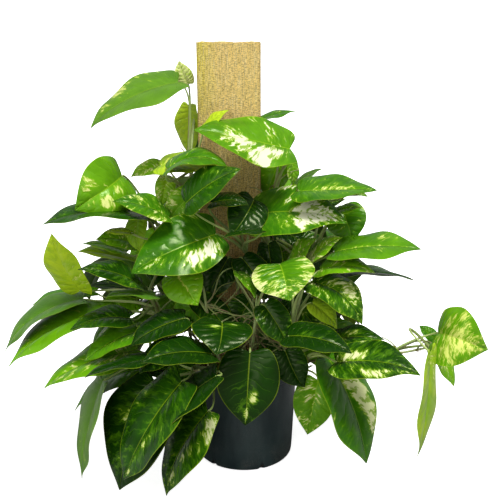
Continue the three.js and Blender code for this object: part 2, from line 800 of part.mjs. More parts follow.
// Stalk and blade in one closed skin: the stalk's last ring opens into the blade. It lies a
// little behind and below the blade's first row, so that the skin doesn't fold over itself.
function leafSolid({ blade, stalk }) {
  const centres = [];
  const radii = [];
  for (let i = 0; i <= STALK_STEPS; i += 1) {
    centres.push(bezierAt(stalk, i / STALK_STEPS));
    radii.push(STALK_RADIUS);
  }
  centres[STALK_STEPS] = along(blade.base, [blade.axis, -MOUTH_BACK], [blade.normal, -MOUTH_SINK]);
  const points = rodRings(centres, radii, STALK_SIDES, blade.side, Math.PI / 6).flat();
  const faces = wallFaces(STALK_STEPS + 1, STALK_SIDES);
  faces.push(0, 2, 1);
  const half = BLADE_THICKNESS / 2;
  const mouth = points.length - STALK_SIDES;
  const add = (s, t) => {
    points.push(bladePoint(blade, s, t, half), bladePoint(blade, s, t, -half));
    return [points.length - 2, points.length - 1];
  };
  let right = add(BLADE_ROWS[0], 1);
  let rib = add(BLADE_ROWS[0], 0);
  let left = add(BLADE_ROWS[0], -1);
  const [mouthRight, mouthLeft, mouthLow] = [mouth, mouth + 1, mouth + 2];
  faces.push(mouthRight, rib[0], right[0], mouthRight, mouthLeft, rib[0], mouthLeft, left[0], rib[0]);
  faces.push(mouthLow, right[1], rib[1], mouthLow, rib[1], left[1]);
  faces.push(mouthRight, right[0], right[1], mouthRight, right[1], mouthLow);
  faces.push(mouthLeft, left[1], left[0], mouthLeft, mouthLow, left[1]);
  for (const s of BLADE_ROWS.slice(1, -1)) {
    const [nextRight, nextRib, nextLeft] = [add(s, 1), add(s, 0), add(s, -1)];
    faces.push(rib[0], nextRib[0], right[0], right[0], nextRib[0], nextRight[0]);
    faces.push(rib[0], left[0], nextRib[0], left[0], nextLeft[0], nextRib[0]);
    faces.push(rib[1], right[1], nextRib[1], right[1], nextRight[1], nextRib[1]);
    faces.push(rib[1], nextRib[1], left[1], left[1], nextRib[1], nextLeft[1]);
    faces.push(right[0], nextRight[0], right[1], right[1], nextRight[0], nextRight[1]);
    faces.push(left[0], left[1], nextLeft[0], left[1], nextLeft[1], nextLeft[0]);
    [right, rib, left] = [nextRight, nextRib, nextLeft];
  }
  const tip = points.push(bladePoint(blade, 1, 0, 0)) - 1;
  faces.push(rib[0], tip, right[0], rib[0], left[0], tip);
  faces.push(rib[1], right[1], tip, rib[1], tip, left[1]);
  faces.push(right[0], tip, right[1], left[0], left[1], tip);
  return toSolid(fromFaces(points, faces));
}

// The pot: a lathed wall with a rim band and a rounded foot, and drain holes cut at the foot.
function potSolid() {
  const profile = [new THREE.Vector2(0, 0)];
  const corner = POT_FOOT_RADIUS - POT_FOOT_ROUND;
  for (let i = 0; i <= POT_FOOT_STEPS; i += 1) {
    const turn = (Math.PI / 2) * (i / POT_FOOT_STEPS);
    profile.push(
      new THREE.Vector2(corner + POT_FOOT_ROUND * Math.sin(turn), POT_FOOT_ROUND * (1 - Math.cos(turn))),
    );
  }
  const rimFoot = POT_HEIGHT - RIM_DEPTH;
  profile.push(
    new THREE.Vector2(POT_TOP_RADIUS - RIM_STAND_OUT, rimFoot - RIM_SLOPE),
    new THREE.Vector2(POT_TOP_RADIUS, rimFoot),
    new THREE.Vector2(POT_TOP_RADIUS, POT_HEIGHT - LIP_ROUND),
    new THREE.Vector2(POT_TOP_RADIUS - LIP_EDGE, POT_HEIGHT),
    new THREE.Vector2(POT_TOP_RADIUS - RIM_STAND_OUT - LIP_EDGE, POT_HEIGHT),
    new THREE.Vector2(POT_TOP_RADIUS - RIM_STAND_OUT - POT_WALL, POT_HEIGHT - LIP_ROUND),
    new THREE.Vector2(POT_FOOT_RADIUS - POT_WALL, POT_FOOT_ROUND),
    new THREE.Vector2(corner, POT_WALL),
    new THREE.Vector2(0, POT_WALL),
  );
  const wall = new THREE.LatheGeometry(profile, POT_SIDES).rotateX(Math.PI / 2);
  let solid = toSolid(wall);
  for (let i = 0; i < DRAIN_COUNT; i += 1) {
    const turn = (2 * Math.PI * (i + DRAIN_FIRST)) / DRAIN_COUNT;
    const drill = new THREE.CylinderGeometry(DRAIN_RADIUS, DRAIN_RADIUS, 3 * POT_FOOT_ROUND, DRAIN_SIDES);
    drill.rotateX(-Math.PI / 4).rotateZ(Math.PI + turn);
    drill.translate(Math.sin(turn) * DRAIN_REACH, -Math.cos(turn) * DRAIN_REACH, DRAIN_HEIGHT);
    solid = solid.subtract(toSolid(drill));
  }
  return solid;
}

// The soil: a lathed fill, a little crowned, with a slot for the board and a hole for each stem.
function soilSolid(stems) {
  const inner = (z) => {
    const rise = (z - POT_FOOT_ROUND) / (POT_HEIGHT - LIP_ROUND - POT_FOOT_ROUND);
    return mix(POT_FOOT_RADIUS - POT_WALL, POT_TOP_RADIUS - RIM_STAND_OUT - POT_WALL, rise) - GAP;
  };
  const floor = POT_WALL + GAP;
  const profile = [
    new THREE.Vector2(0, floor),
    new THREE.Vector2(POT_FOOT_RADIUS - POT_FOOT_ROUND - 1, floor),
    new THREE.Vector2(inner(POT_FOOT_ROUND), POT_FOOT_ROUND + 1),
    new THREE.Vector2(inner(SOIL_TOP), SOIL_TOP),
    new THREE.Vector2(SOIL_SHOULDER_RADIUS, SOIL_TOP + SOIL_SHOULDER * SOIL_CROWN),
    new THREE.Vector2(0, SOIL_TOP + SOIL_CROWN),
  ];
  let solid = toSolid(new THREE.LatheGeometry(profile, POT_SIDES).rotateX(Math.PI / 2));
  solid = solid.subtract(plankSolid(GAP));
  for (const stem of stems) {
    const radius = (STEM_RADIUS + HOLE_CLEARANCE) / Math.cos(Math.PI / STEM_SIDES);
    const depth = SOIL_TOP + 3 * SOIL_CROWN - STEM_ROOT_Z;
    const hole = new THREE.CylinderGeometry(radius, radius, depth + GAP, STEM_SIDES).rotateX(Math.PI / 2);
    hole.translate(stem[0].x, stem[0].y, STEM_ROOT_Z - GAP + (depth + GAP) / 2);
    solid = solid.subtract(toSolid(hole));
  }
  return solid;
}

// The board, grown by a margin all round for its slot in the soil.
function plankSolid(margin) {
  const half = PLANK_WIDTH / 2 + margin;
  const outline = new THREE.Shape();
  const foot = PLANK_FOOT_Z - margin;
  const lean = (z) => mix(PLANK_FOOT_X, PLANK_TOP_X, (z - PLANK_FOOT_Z) / (PLANK_TOP_Z - PLANK_FOOT_Z));
  outline.moveTo(lean(foot) - half, foot);
  outline.lineTo(lean(foot) + half, foot);
  outline.lineTo(lean(PLANK_TOP_Z) + half, PLANK_TOP_Z);
  outline.lineTo(lean(PLANK_TOP_Z) - half, PLANK_TOP_Z);
  const thick = PLANK_THICKNESS + 2 * margin;
  const board = new THREE.ExtrudeGeometry(outline, { depth: thick, bevelEnabled: false });
  board.rotateX(Math.PI / 2).translate(0, PLANK_Y + thick / 2, 0);
  return toSolid(board);
}

// The pot, soil and board keep the leaves out too.
function markFixed() {
  const point = new THREE.Vector3();
  for (let z = SOIL_TOP; z <= PLANK_TOP_Z; z += FIXED_STEP) {
    for (let x = -PLANK_WIDTH / 2; x <= PLANK_WIDTH / 2; x += FIXED_STEP) {
      for (let y = -PLANK_THICKNESS / 2; y <= PLANK_THICKNESS / 2; y += PLANK_THICKNESS / 4) {
        const middle = mix(PLANK_FOOT_X, PLANK_TOP_X, (z - PLANK_FOOT_Z) / (PLANK_TOP_Z - PLANK_FOOT_Z));
        stalkCells[cellOf(point.set(middle + x, PLANK_Y + y, z))] = FIXED;
      }
    }
  }
  for (let turn = 0; turn < 360; turn += FIXED_TURN) {
    const angle = THREE.MathUtils.degToRad(turn);
    for (let z = 0; z <= POT_HEIGHT; z += FIXED_STEP) {
      const radius = mix(POT_FOOT_RADIUS, POT_TOP_RADIUS, z / POT_HEIGHT);
      stalkCells[cellOf(point.set(radius * Math.cos(angle), radius * Math.sin(angle), z))] = FIXED;
    }
    for (let radius = 0; radius < POT_TOP_RADIUS; radius += FIXED_STEP) {
      stalkCells[cellOf(point.set(radius * Math.cos(angle), radius * Math.sin(angle), SOIL_TOP))] = FIXED;
    }
  }
}

// A stem goes straight down into its hole below its course.
function stemCourse(course) {
  const [x, y] = course[0];
  const buried = STEM_BURIED_Z.map((z) => new THREE.Vector3(x, y, z));
  const shown = course.map((place) => new THREE.Vector3(...place));
  const rising = shown[0].clone().lerp(shown[1], STEM_EASE);
  return [...buried, shown[0], rising, ...shown.slice(1)];
}

const plant = new THREE.Group();

function addPiece(name, solid, colour, roughness) {
  const material = new THREE.MeshStandardMaterial({ color: colour, roughness, metalness: 0 });
  const mesh = new THREE.Mesh(toGeometry(solid), material);
  mesh.name = name;
  plant.add(mesh);
}

const stems = VINES.map((vine) => stemCourse(vine.course));
markFixed();
stems.forEach((stem, index) => {
  for (let i = 0; i <= STEM_SAMPLES; i += 1) {
    markRod(curveAt(stem, i / STEM_SAMPLES), 1.3 * STEM_RADIUS, index + 1);
  }
});
const noted = VINES.map((vine, index) => growNoted(vine, stems[index], index + 1));
const filled = VINES.map((vine, index) => growFill(vine, stems[index], index + 1));
VINES.forEach((vine, index) => {
  const leaves = [...noted[index], ...filled[index]];
  const solids = [stemSolid(stems[index]), ...leaves.map(leafSolid)];
  addPiece(vine.name, wasm.Manifold.union(solids), COLOURS.vine, 0.4);
});
addPiece("pot", potSolid(), COLOURS.pot, 0.45);
addPiece("soil", soilSolid(stems), COLOURS.soil, 0.95);
addPiece("plank", plankSolid(0), COLOURS.plank, 0.85);

export default plant;
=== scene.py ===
"""Looks of a golden pothos that climbs a rough board in a nursery pot.

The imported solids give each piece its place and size. This script grows every leaf again from
the same notes and the same rule as the solids, as a finer surface, and finishes pot, soil and board.
Sizes are in millimetres until a mesh is made. +Z is up and -Y is towards the viewer.
"""

import logging
import math
from dataclasses import dataclass, field
from enum import Enum

import bpy
import numpy as np
from bpy.types import Material, Mesh, Node, NodeTree, Object
from bpy.types import NodeSocket as Socket
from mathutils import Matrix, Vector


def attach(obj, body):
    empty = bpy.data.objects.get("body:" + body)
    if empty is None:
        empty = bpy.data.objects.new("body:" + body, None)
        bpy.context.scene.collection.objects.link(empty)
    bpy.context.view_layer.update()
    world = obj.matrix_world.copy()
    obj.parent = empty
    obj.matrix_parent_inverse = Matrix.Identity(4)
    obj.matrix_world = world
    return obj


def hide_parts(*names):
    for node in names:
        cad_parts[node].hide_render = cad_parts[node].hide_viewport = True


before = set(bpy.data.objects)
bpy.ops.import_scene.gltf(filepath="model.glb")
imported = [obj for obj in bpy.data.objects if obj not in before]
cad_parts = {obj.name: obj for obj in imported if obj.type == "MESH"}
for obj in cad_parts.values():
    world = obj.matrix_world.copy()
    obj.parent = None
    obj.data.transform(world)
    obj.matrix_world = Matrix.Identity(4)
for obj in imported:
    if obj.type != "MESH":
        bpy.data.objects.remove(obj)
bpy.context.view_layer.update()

LOG = logging.getLogger("pothos")
MM = 0.001
UP = np.array([0.0, 0.0, 1.0])
RIGHT = np.array([1.0, 0.0, 0.0])

Array = np.ndarray
Triple = tuple[float, float, float]
Pair = tuple[float, float]
Patch = tuple[float, float, float, float, float]
Colour = Triple
Number = Socket | float


class Lean(Enum):
    """The side that a noted leaf's face leans to."""

    UP = (0.0, 0.0, 1.0)
    LEFT = (-1.0, 0.0, 0.0)
    RIGHT = (1.0, 0.0, 0.0)


@dataclass(frozen=True)
class Tint:
    """How one kind of leaf is coloured.

    tone runs from old dark green at 0 to young bright green at 1, and on many leaves it is also
    lowered to paint shade or raised to paint light; share is how much of the blade is marbled,
    milk turns the marbling from yellow to cream, and dull greys the face.
    """

    tone: float
    share: float
    milk: float
    dull: float = 0.0


class Look(Enum):
    """The kinds of leaf on the plant. Besides age, the darker looks on hanging and inner leaves paint the
    shade on them, and the brighter looks on some shaded leaves paint light.
    """

    DEEP = Tint(-0.1, -0.15, 0.4)
    DARK = Tint(0.14, 0.08, 0.35)
    MOSS = Tint(0.12, 0.18, 0.4)
    PLAIN = Tint(0.46, 0.16, 0.3)
    FRESH = Tint(0.66, 0.18, 0.3)
    BRIGHT = Tint(0.82, 0.16, 0.15)
    LIME = Tint(1.12, 0.22, 0.1)
    LEMON = Tint(1.2, 1.1, 0.35)
    MOTTLED = Tint(0.14, 0.3, 0.6)
    FLECKED = Tint(0.5, 0.34, 0.45)
    SPLASHED = Tint(0.66, 0.36, 0.5)
    STRIPED = Tint(0.85, 0.44, 0.4)
    CREAMY = Tint(0.52, 0.5, 0.9)
    SNOWY = Tint(0.38, 0.16, 0.95)
    FROSTED = Tint(0.7, 0.16, 0.9)
    CREAMED = Tint(0.5, 0.16, 0.6)
    OLIVE = Tint(0.34, 0.12, 0.3, 0.75)
    SILVER = Tint(0.55, 0.1, 0.2, 0.5)
    PALE = Tint(1.0, 0.14, 0.3, 0.4)


(DEEP, DARK, MOSS, PLAIN, FRESH, BRIGHT, LIME, LEMON, MOTTLED, FLECKED,
 SPLASHED, STRIPED, CREAMY, SNOWY, FROSTED, CREAMED, OLIVE, SILVER, PALE) = Look


@dataclass(frozen=True)
class NotedLeaf:
    """A leaf noted in the view.

    base and tip are (u, v) in the view and y in depth. breadth is its width there, lean the side
    its face leans to, bow its arch. patches are (along, across, reach along, reach across,
    amount): places with more marbling than the rest, which on two leaves also paint white
    highlights as cream marbling. ratio is its width as a share of its length, and curl how far
    its point rolls under.
    """

    base: Triple
    tip: Triple
    breadth: float
    lean: Lean
    bow: float
    look: Look
    patches: tuple[Patch, ...]
    ratio: float
    curl: float


def noted(
    base: Triple, tip: Triple, breadth: float, lean: Lean, bow: float, look: Look,
    *patches: Patch, ratio: float = 0.66, curl: float = 0.0,
) -> NotedLeaf:
    """Notes a leaf, with its patches after its look."""
    return NotedLeaf(base, tip, breadth, lean, bow, look, patches, ratio, curl)


@dataclass(frozen=True)
class VinePlan:
    """A vine's course above the soil, the leaves noted on it, and how many more the rule may fill in."""

    name: str
    course: tuple[Triple, ...]
    leaves: tuple[NotedLeaf, ...] = ()
    fill: int = 0


U, L, R = Lean.UP, Lean.LEFT, Lean.RIGHT

VINES = (
    VinePlan("vine_crown_left", ((-88, -24, 238), (-94, -22, 400), (-114, -24, 600), (-122, -22, 735)), (
        noted((178, 82, -30), (89, 126, -80), 27, U, 0.09, SILVER, (0.46, -0.85, 0.08, 0.2, 0.5),
              (0.6, -0.8, 0.08, 0.25, 0.7), (0.74, -0.6, 0.07, 0.4, 0.55)),
        noted((188, 84, -22), (178, 61, -30), 17, L, 0.05, LEMON),
        noted((190, 106, 36), (190, 157, 40), 21, L, 0.05, LIME),
        noted((203, 130, -40), (229, 110, -36), 8, U, 0.08, LIME),
        noted((160, 166, -50), (222, 170, -75), 20, U, 0.08, LIME, (0.3, 0.2, 0.2, 0.6, 0.4)),
        noted((168, 169, -32), (229, 167, -43), 17, U, 0.2, PLAIN),
        noted((167, 177, -60), (161, 206, -75), 19, L, 0.08, STRIPED),
        noted((190, 186, -45), (181, 208, -60), 15, R, 0.05, SILVER),
        noted((164, 167, -25), (131, 177, -45), 15, U, 0.12, STRIPED),
        noted((196, 192, -20), (166, 224, -45), 28, L, 0.08, STRIPED),
    )),
    VinePlan("vine_crown_right", ((38, -28, 238), (46, -24, 400), (60, -18, 600), (74, -14, 700)), (
        noted((290, 149, -35), (194, 127, -70), 39, U, 0.02, FROSTED, (0.55, 0.5, 0.13, 0.55, 0.7),
              (0.42, 0.75, 0.08, 0.35, 0.6), (0.66, 0.0, 0.07, 0.5, 0.6), (0.42, -0.5, 0.06, 0.3, 0.6),
              (0.3, -0.5, 0.05, 0.3, 0.5), (0.36, 0.3, 0.08, 0.3, 0.5)),
        # The patches on this leaf paint white highlights as cream marbling.
        noted((250, 215, -75), (348, 219, -140), 45, U, 0.05, SNOWY, (0.7, 0.3, 0.12, 0.45, 0.85),
              (0.72, -0.4, 0.12, 0.45, 0.8), (0.6, -0.75, 0.08, 0.25, 0.6), (0.5, 0.9, 0.25, 0.12, 0.5)),
        noted((283, 157, -12), (266, 200, -25), 28, L, 0.1, FRESH),
        noted((292, 160, -5), (293, 186, -15), 11, R, 0.05, STRIPED),
        noted((298, 191, -60), (377, 189, -110), 23, U, 0.02, PLAIN, (0.66, 0.05, 0.1, 0.3, 0.5),
              (0.52, 0.0, 0.08, 0.2, 0.4)),
        noted((294, 186, -20), (322, 168, -10), 6, U, 0.05, OLIVE),
        noted((262, 201, -40), (318, 199, -55), 11, U, 0.22, BRIGHT),
        noted((340, 197, -70), (368, 197, -80), 9, U, 0.2, CREAMY),
    )),
    VinePlan("vine_middle", ((-15, -44, 238), (-12, -48, 330), (0, -60, 460), (6, -62, 540)), (
        # The cream patches on this leaf paint the white glare of its gloss.
        noted((216, 234, -115), (130, 271, -190), 54, U, 0.08, SNOWY, (0.38, 0.55, 0.08, 0.35, 0.85),
              (0.52, 0.45, 0.08, 0.35, 0.9), (0.75, 0.5, 0.1, 0.4, 0.4), (0.46, -0.35, 0.05, 0.2, 0.3)),
        noted((254, 200, -45), (231, 237, -110), 38, L, 0.08, DEEP, (0.3, 0.0, 0.12, 0.3, 0.35)),
        noted((211, 203, -25), (249, 204, -42), 15, U, 0.12, DEEP),
        noted((262, 231, -80), (222, 237, -105), 6, U, 0.02, DEEP),
        noted((186, 203, -70), (240, 168, -95), 30, U, 0.08, DARK),
        noted((228, 258, -40), (206, 300, -70), 30, L, 0.08, DEEP),
        noted((242, 258, -40), (266, 300, -75), 30, R, 0.08, DEEP),
    )),
    VinePlan("vine_left_high", ((-114, 2, 238), (-136, -5, 330), (-165, -25, 480), (-185, -35, 560)), (
        noted((122, 176, -90), (74, 209, -165), 54, U, 0.24, FRESH, (0.62, 0.5, 0.06, 0.22, 0.8),
              (0.76, 0.1, 0.06, 0.4, 0.5), (0.5, 0.3, 0.05, 0.2, 0.4), (0.66, -0.7, 0.05, 0.2, 0.4)),
        noted((150, 215, -75), (42, 224, -120), 21, U, 0.09, DARK),
        noted((169, 217, -105), (113, 201, -140), 19, U, 0.08, FLECKED),
        # The brighter looks of this leaf and the five below it paint light on leaves that lie in shade.
        noted((138, 217, -90), (139, 252, -125), 20, L, 0.08, PALE, (0.55, -0.1, 0.2, 0.14, 0.65)),
        noted((134, 244, -100), (96, 239, -130), 18, U, 0.1, STRIPED),
        noted((124, 252, -85), (82, 244, -105), 9, U, 0.08, BRIGHT),
        noted((136, 262, -110), (78, 250, -140), 13, U, 0.04, PALE),
        noted((132, 233, -125), (104, 231, -140), 6, U, 0.02, LIME),
        noted((170, 238, -50), (128, 262, -80), 28, U, 0.1, BRIGHT),
    )),
    VinePlan("vine_left_middle", (
        (-112, -20, 238), (-165, -50, 300), (-205, -70, 400), (-225, -80, 455)), (
        noted((80, 291, -95), (52, 234, -120), 30, L, 0.06, LIME),
        noted((147, 287, -110), (112, 262, -135), 20, U, 0.08, OLIVE),
        noted((140, 285, -130), (78, 269, -160), 18, U, 0.1, DARK, (0.78, 0.3, 0.06, 0.3, 0.6)),
        noted((155, 296, -130), (105, 296, -165), 9, U, 0.05, SILVER),
        noted((83, 299, -70), (3, 352, -110), 17, U, 0.12, SILVER),
        noted((152, 293, -60), (88, 286, -90), 17, U, 0.06, DARK),
        noted((95, 292, -55), (32, 304, -75), 11, U, 0.08, PLAIN),
        noted((110, 309, -115), (7, 364, -185), 25, U, 0.09, BRIGHT),
        noted((130, 318, -150), (70, 330, -185), 20, U, 0.1, DARK),
        noted((160, 262, -15), (128, 300, -40), 30, U, 0.1, DARK),
        noted((135, 300, -60), (95, 322, -90), 26, U, 0.1, BRIGHT),
    )),
    VinePlan("vine_left_low", ((-98, -48, 238), (-175, -95, 275), (-222, -125, 288)), (
        noted((137, 350, -160), (43, 386, -205), 28, U, 0.08, SPLASHED),
        noted((142, 330, -175), (84, 362, -215), 22, U, 0.1, FRESH),
        noted((200, 372, -85), (142, 374, -115), 22, U, 0.08, DARK),
        noted((152, 358, -165), (84, 376, -200), 12, U, 0.02, DEEP),
        noted((103, 381, -190), (80, 479, -225), 17, L, 0.03, SILVER),
        noted((158, 366, -145), (74, 411, -190), 22, U, 0.14, FRESH),
        noted((185, 318, -130), (130, 345, -165), 26, U, 0.1, DEEP),
        noted((178, 345, -125), (138, 372, -155), 24, U, 0.08, DARK),
    )),
    VinePlan("vine_rim_left", ((-62, -86, 240), (-84, -142, 268), (-120, -168, 290)), (
        noted((208, 411, -232), (164, 494, -262), 39, L, 0.1, MOTTLED, (0.3, 0.8, 0.08, 0.25, 0.8)),
        noted((182, 381, -290), (123, 482, -340), 46, L, 0.08, MOSS, (0.84, 0.4, 0.05, 0.3, 0.5)),
        # DEEP on this low hanging leaf paints the shade that falls on it.
        noted((158, 385, -185), (119, 491, -240), 60, L, 0.08, DEEP, (0.5, -0.3, 0.3, 0.6, 0.3)),
        noted((216, 376, -205), (150, 452, -245), 23, U, 0.08, DEEP),
        noted((212, 354, -200), (141, 362, -250), 27, U, 0.08, DEEP),
    )),
    VinePlan("vine_front_left", ((-40, -72, 238), (-60, -115, 300), (-80, -135, 400), (-85, -140, 440)), (
        noted((176, 274, -150), (197, 306, -205), 38, L, 0.1, BRIGHT, (0.5, 0.0, 0.3, 0.1, 0.6)),
        noted((222, 322, -180), (218, 355, -270), 56, U, 0.1, DEEP, (0.5, -0.2, 0.06, 0.3, 0.8),
              (0.4, 0.3, 0.05, 0.3, 0.5)),
        noted((190, 322, -150), (150, 340, -185), 18, U, 0.1, DARK),
        noted((204, 298, -25), (172, 332, -50), 28, L, 0.08, FRESH),
        noted((170, 300, -50), (140, 330, -80), 20, U, 0.1, BRIGHT),
        noted((198, 300, -70), (232, 340, -100), 28, U, 0.1, DARK),
        noted((155, 322, -80), (115, 348, -110), 24, U, 0.1, BRIGHT),
    )),
    VinePlan("vine_front_middle", ((5, -84, 238), (12, -125, 290), (22, -135, 370), (26, -132, 420)), (
        noted((280, 264, -150), (289, 301, -222), 58, U, 0.1, FLECKED, (0.55, 1.0, 0.3, 0.3, 0.5),
              (0.5, -1.0, 0.3, 0.35, 0.5), (0.75, 0.2, 0.08, 0.6, 0.25)),
        noted((238, 272, -125), (256, 298, -165), 10, R, 0.05, FLECKED),
        # DEEP on this hanging leaf paints the shade that falls on it.
        noted((250, 352, -205), (246, 426, -240), 58, L, 0.06, DEEP, (0.82, 0.05, 0.12, 0.3, 0.95),
              (0.66, 0.32, 0.06, 0.2, 1.0)),
        noted((250, 300, -75), (232, 340, -105), 32, L, 0.08, DARK),
        noted((286, 322, -60), (262, 362, -95), 28, L, 0.08, DARK),
        noted((264, 305, -80), (288, 345, -115), 30, R, 0.08, DARK),
    )),
    VinePlan("vine_front_right", ((54, -72, 238), (80, -115, 280), (98, -130, 340), (110, -135, 390)), (
        noted((312, 282, -130), (362, 325, -180), 32, U, 0.2, MOTTLED, (0.6, 0.5, 0.1, 0.35, 0.55),
              (0.48, 0.3, 0.08, 0.3, 0.4)),
        noted((312, 303, -140), (338, 328, -165), 18, U, 0.05, PALE),
        noted((288, 336, -165), (352, 352, -215), 28, U, 0.1, DEEP, (0.5, 0.1, 0.14, 0.2, 0.55)),
        noted((326, 341, -125), (384, 340, -160), 20, U, 0.1, DARK, (0.6, 0.35, 0.08, 0.3, 0.65)),
        noted((320, 270, -95), (375, 272, -145), 18, U, 0.12, STRIPED),
        noted((307, 263, -100), (341, 236, -120), 14, U, 0.05, STRIPED, (0.34, 0.0, 0.14, 0.6, 0.6)),
        noted((290, 266, -95), (316, 238, -115), 15, U, 0.05, STRIPED),
        noted((300, 334, -100), (334, 372, -135), 28, R, 0.08, BRIGHT),
        noted((322, 264, -80), (335, 246, -90), 9, U, 0.05, OLIVE),
        noted((290, 298, -70), (322, 336, -105), 28, U, 0.1, DARK),
    )),
    VinePlan("vine_rim_right", ((78, -52, 240), (110, -122, 266), (134, -154, 284)), (
        noted((328, 358, -190), (367, 465, -240), 46, R, 0.05, CREAMED, (0.49, 0.3, 0.06, 0.25, 1.1),
              (0.56, 0.5, 0.07, 0.25, 1.2), (0.64, 0.8, 0.06, 0.25, 1.0), (0.36, 0.14, 0.05, 0.14, 0.9)),
        noted((336, 362, -175), (421, 372, -225), 35, U, 0.06, MOTTLED, (0.44, 0.2, 0.1, 0.2, 0.5),
              (0.66, -0.75, 0.12, 0.2, 0.5)),
        noted((318, 380, -165), (308, 435, -195), 38, L, 0.06, SPLASHED),
        noted((285, 350, -155), (303, 388, -175), 32, R, 0.05, DEEP),
    )),
    VinePlan("vine_right_high", ((92, -8, 238), (115, -20, 330), (140, -35, 450), (150, -40, 505)), (
        noted((334, 252, -70), (421, 249, -120), 26, U, 0.05, FRESH, (0.5, 0.0, 0.3, 0.08, 0.45)),
        noted((341, 207, -60), (353, 243, -100), 38, U, 0.1, PLAIN),
        noted((323, 207, -90), (345, 199, -105), 9, U, 0.05, CREAMY),
        noted((333, 212, -70), (361, 207, -85), 8, U, 0.05, STRIPED),
        noted((338, 273, -50), (415, 279, -75), 9, U, 0.04, DARK),
        noted((262, 226, -8), (308, 246, -24), 24, U, 0.08, DEEP),
        noted((268, 244, -14), (277, 287, -34), 24, L, 0.08, DEEP),
        noted((300, 240, -45), (334, 284, -80), 32, U, 0.1, DARK),
        noted((292, 244, -35), (278, 286, -60), 28, L, 0.08, STRIPED),
    )),
    VinePlan("vine_trailing_right", ((102, -36, 238), (185, -85, 275), (260, -105, 300), (335, -115, 302),
        (400, -120, 316), (445, -125, 330)), (
        noted((438, 333, -130), (490, 352, -225), 56, U, 0.22, BRIGHT, (0.65, 0.0, 0.35, 1.2, 0.6),
              curl=1.0),
        noted((437, 340, -118), (419, 326, -105), 12, U, 0.05, PLAIN),
        noted((430, 342, -135), (455, 386, -165), 18, R, 0.06, STRIPED),
        noted((430, 352, -140), (418, 459, -170), 12, R, 0.03, PALE, (0.3, 0.0, 0.14, 1.0, 0.6),
              ratio=0.45),
    )),
    VinePlan("vine_crown_back", ((-30, 46, 238), (-20, 44, 450), (8, 42, 700), (20, 44, 770)), (
        noted((250, 125, 48), (296, 111, 62), 7, U, 0.05, PLAIN),
    ), 8),
    VinePlan("vine_back_left", ((-62, 62, 238), (-90, 90, 350), (-84, 104, 540)), fill=8),
    VinePlan("vine_back_middle", ((4, 84, 238), (8, 112, 350), (-12, 96, 580)), fill=8),
    VinePlan("vine_back_right", ((60, 62, 238), (95, 95, 350), (92, 104, 540)), fill=8),
    VinePlan("vine_side_left", ((-96, 38, 238), (-160, 62, 330), (-190, 72, 450)), fill=8),
    VinePlan("vine_side_right", ((96, 38, 238), (160, 62, 330), (192, 72, 430)), fill=8),
)

INNER_VINES = (
    "vine_middle", "vine_front_left", "vine_front_middle", "vine_front_right", "vine_right_high")

OUTLINE = np.array([
    (140, 178), (150, 165), (165, 158), (196, 155), (200, 100), (258, 100), (262, 156), (275, 160),
    (297, 186), (330, 176), (345, 180), (350, 210), (362, 232), (395, 240), (398, 254), (372, 262),
    (365, 290), (362, 330), (398, 350), (400, 362), (368, 385), (358, 430), (310, 420), (297, 395),
    (200, 395), (190, 440), (150, 440), (110, 420), (105, 385), (70, 370), (60, 350), (35, 345),
    (60, 300), (80, 270), (75, 255), (90, 225), (75, 220), (85, 205), (130, 200),
], float)


def unit(vector: Array) -> Array:
    """The vector divided by its own length."""
    return vector / np.linalg.norm(vector)


def square(vector: Array, axis: Array) -> Array:
    """The unit vector along what is left of vector once its part along axis is taken off."""
    return unit(vector - axis * vector.dot(axis))


def mix(a: float | Array, b: float | Array, t: float | Array) -> float | Array:
    """What lies the share t of the way from a to b."""
    return a + (b - a) * t


@dataclass(frozen=True)
class Eye:
    """The eye that the leaves' places are noted from, on a frame of 493 by 498."""

    place: Triple = (5.0, -1883.0, 1086.0)
    pitch: float = math.radians(16.9)
    focus: float = 850.0
    centre_u: float = 246.5
    centre_v: float = 249.0
    frame_side: float = 498.0

    def place_at(self, u: float, v: float, y: float) -> Array:
        """Finds the point at depth y on the ray through (u, v).

        Args:
            u: Place across the view, to the right.
            v: Place down the view.
            y: The point's y in millimetres.

        Returns:
            The point.
        """
        across = (u - self.centre_u) / self.focus
        rise = (self.centre_v - v) / self.focus
        depth = math.cos(self.pitch) + rise * math.sin(self.pitch)
        height = rise * math.cos(self.pitch) - math.sin(self.pitch)
        reach = (y - self.place[1]) / depth
        return np.array([self.place[0] + reach * across, y, self.place[2] + reach * height])

    def seen_at(self, points: Array) -> tuple[Array, Array, Array]:
        """Finds where points fall in the view.

        Args:
            points: Points as rows.

        Returns:
            Their u, their v and their depth along the view.
        """
        dx, dy, dz = (points - np.array(self.place)).T
        depth = dy * math.cos(self.pitch) - dz * math.sin(self.pitch)
        height = dy * math.sin(self.pitch) + dz * math.cos(self.pitch)
        return self.centre_u + self.focus * dx / depth, self.centre_v - self.focus * height / depth, depth


def inside_outline(u: Array, v: Array) -> Array:
    """Tests points of the view against the plant's outline, by counting the edges to their right."""
    ui, vi = OUTLINE.T
    uj, vj = np.roll(OUTLINE, 1, axis=0).T
    spans = (vi > v[:, None]) != (vj > v[:, None])
    height = np.where(vj == vi, 1.0, vj - vi)
    left = u[:, None] < (uj - ui) * (v[:, None] - vi) / height + ui
    return (spans & left).sum(axis=1) % 2 == 1


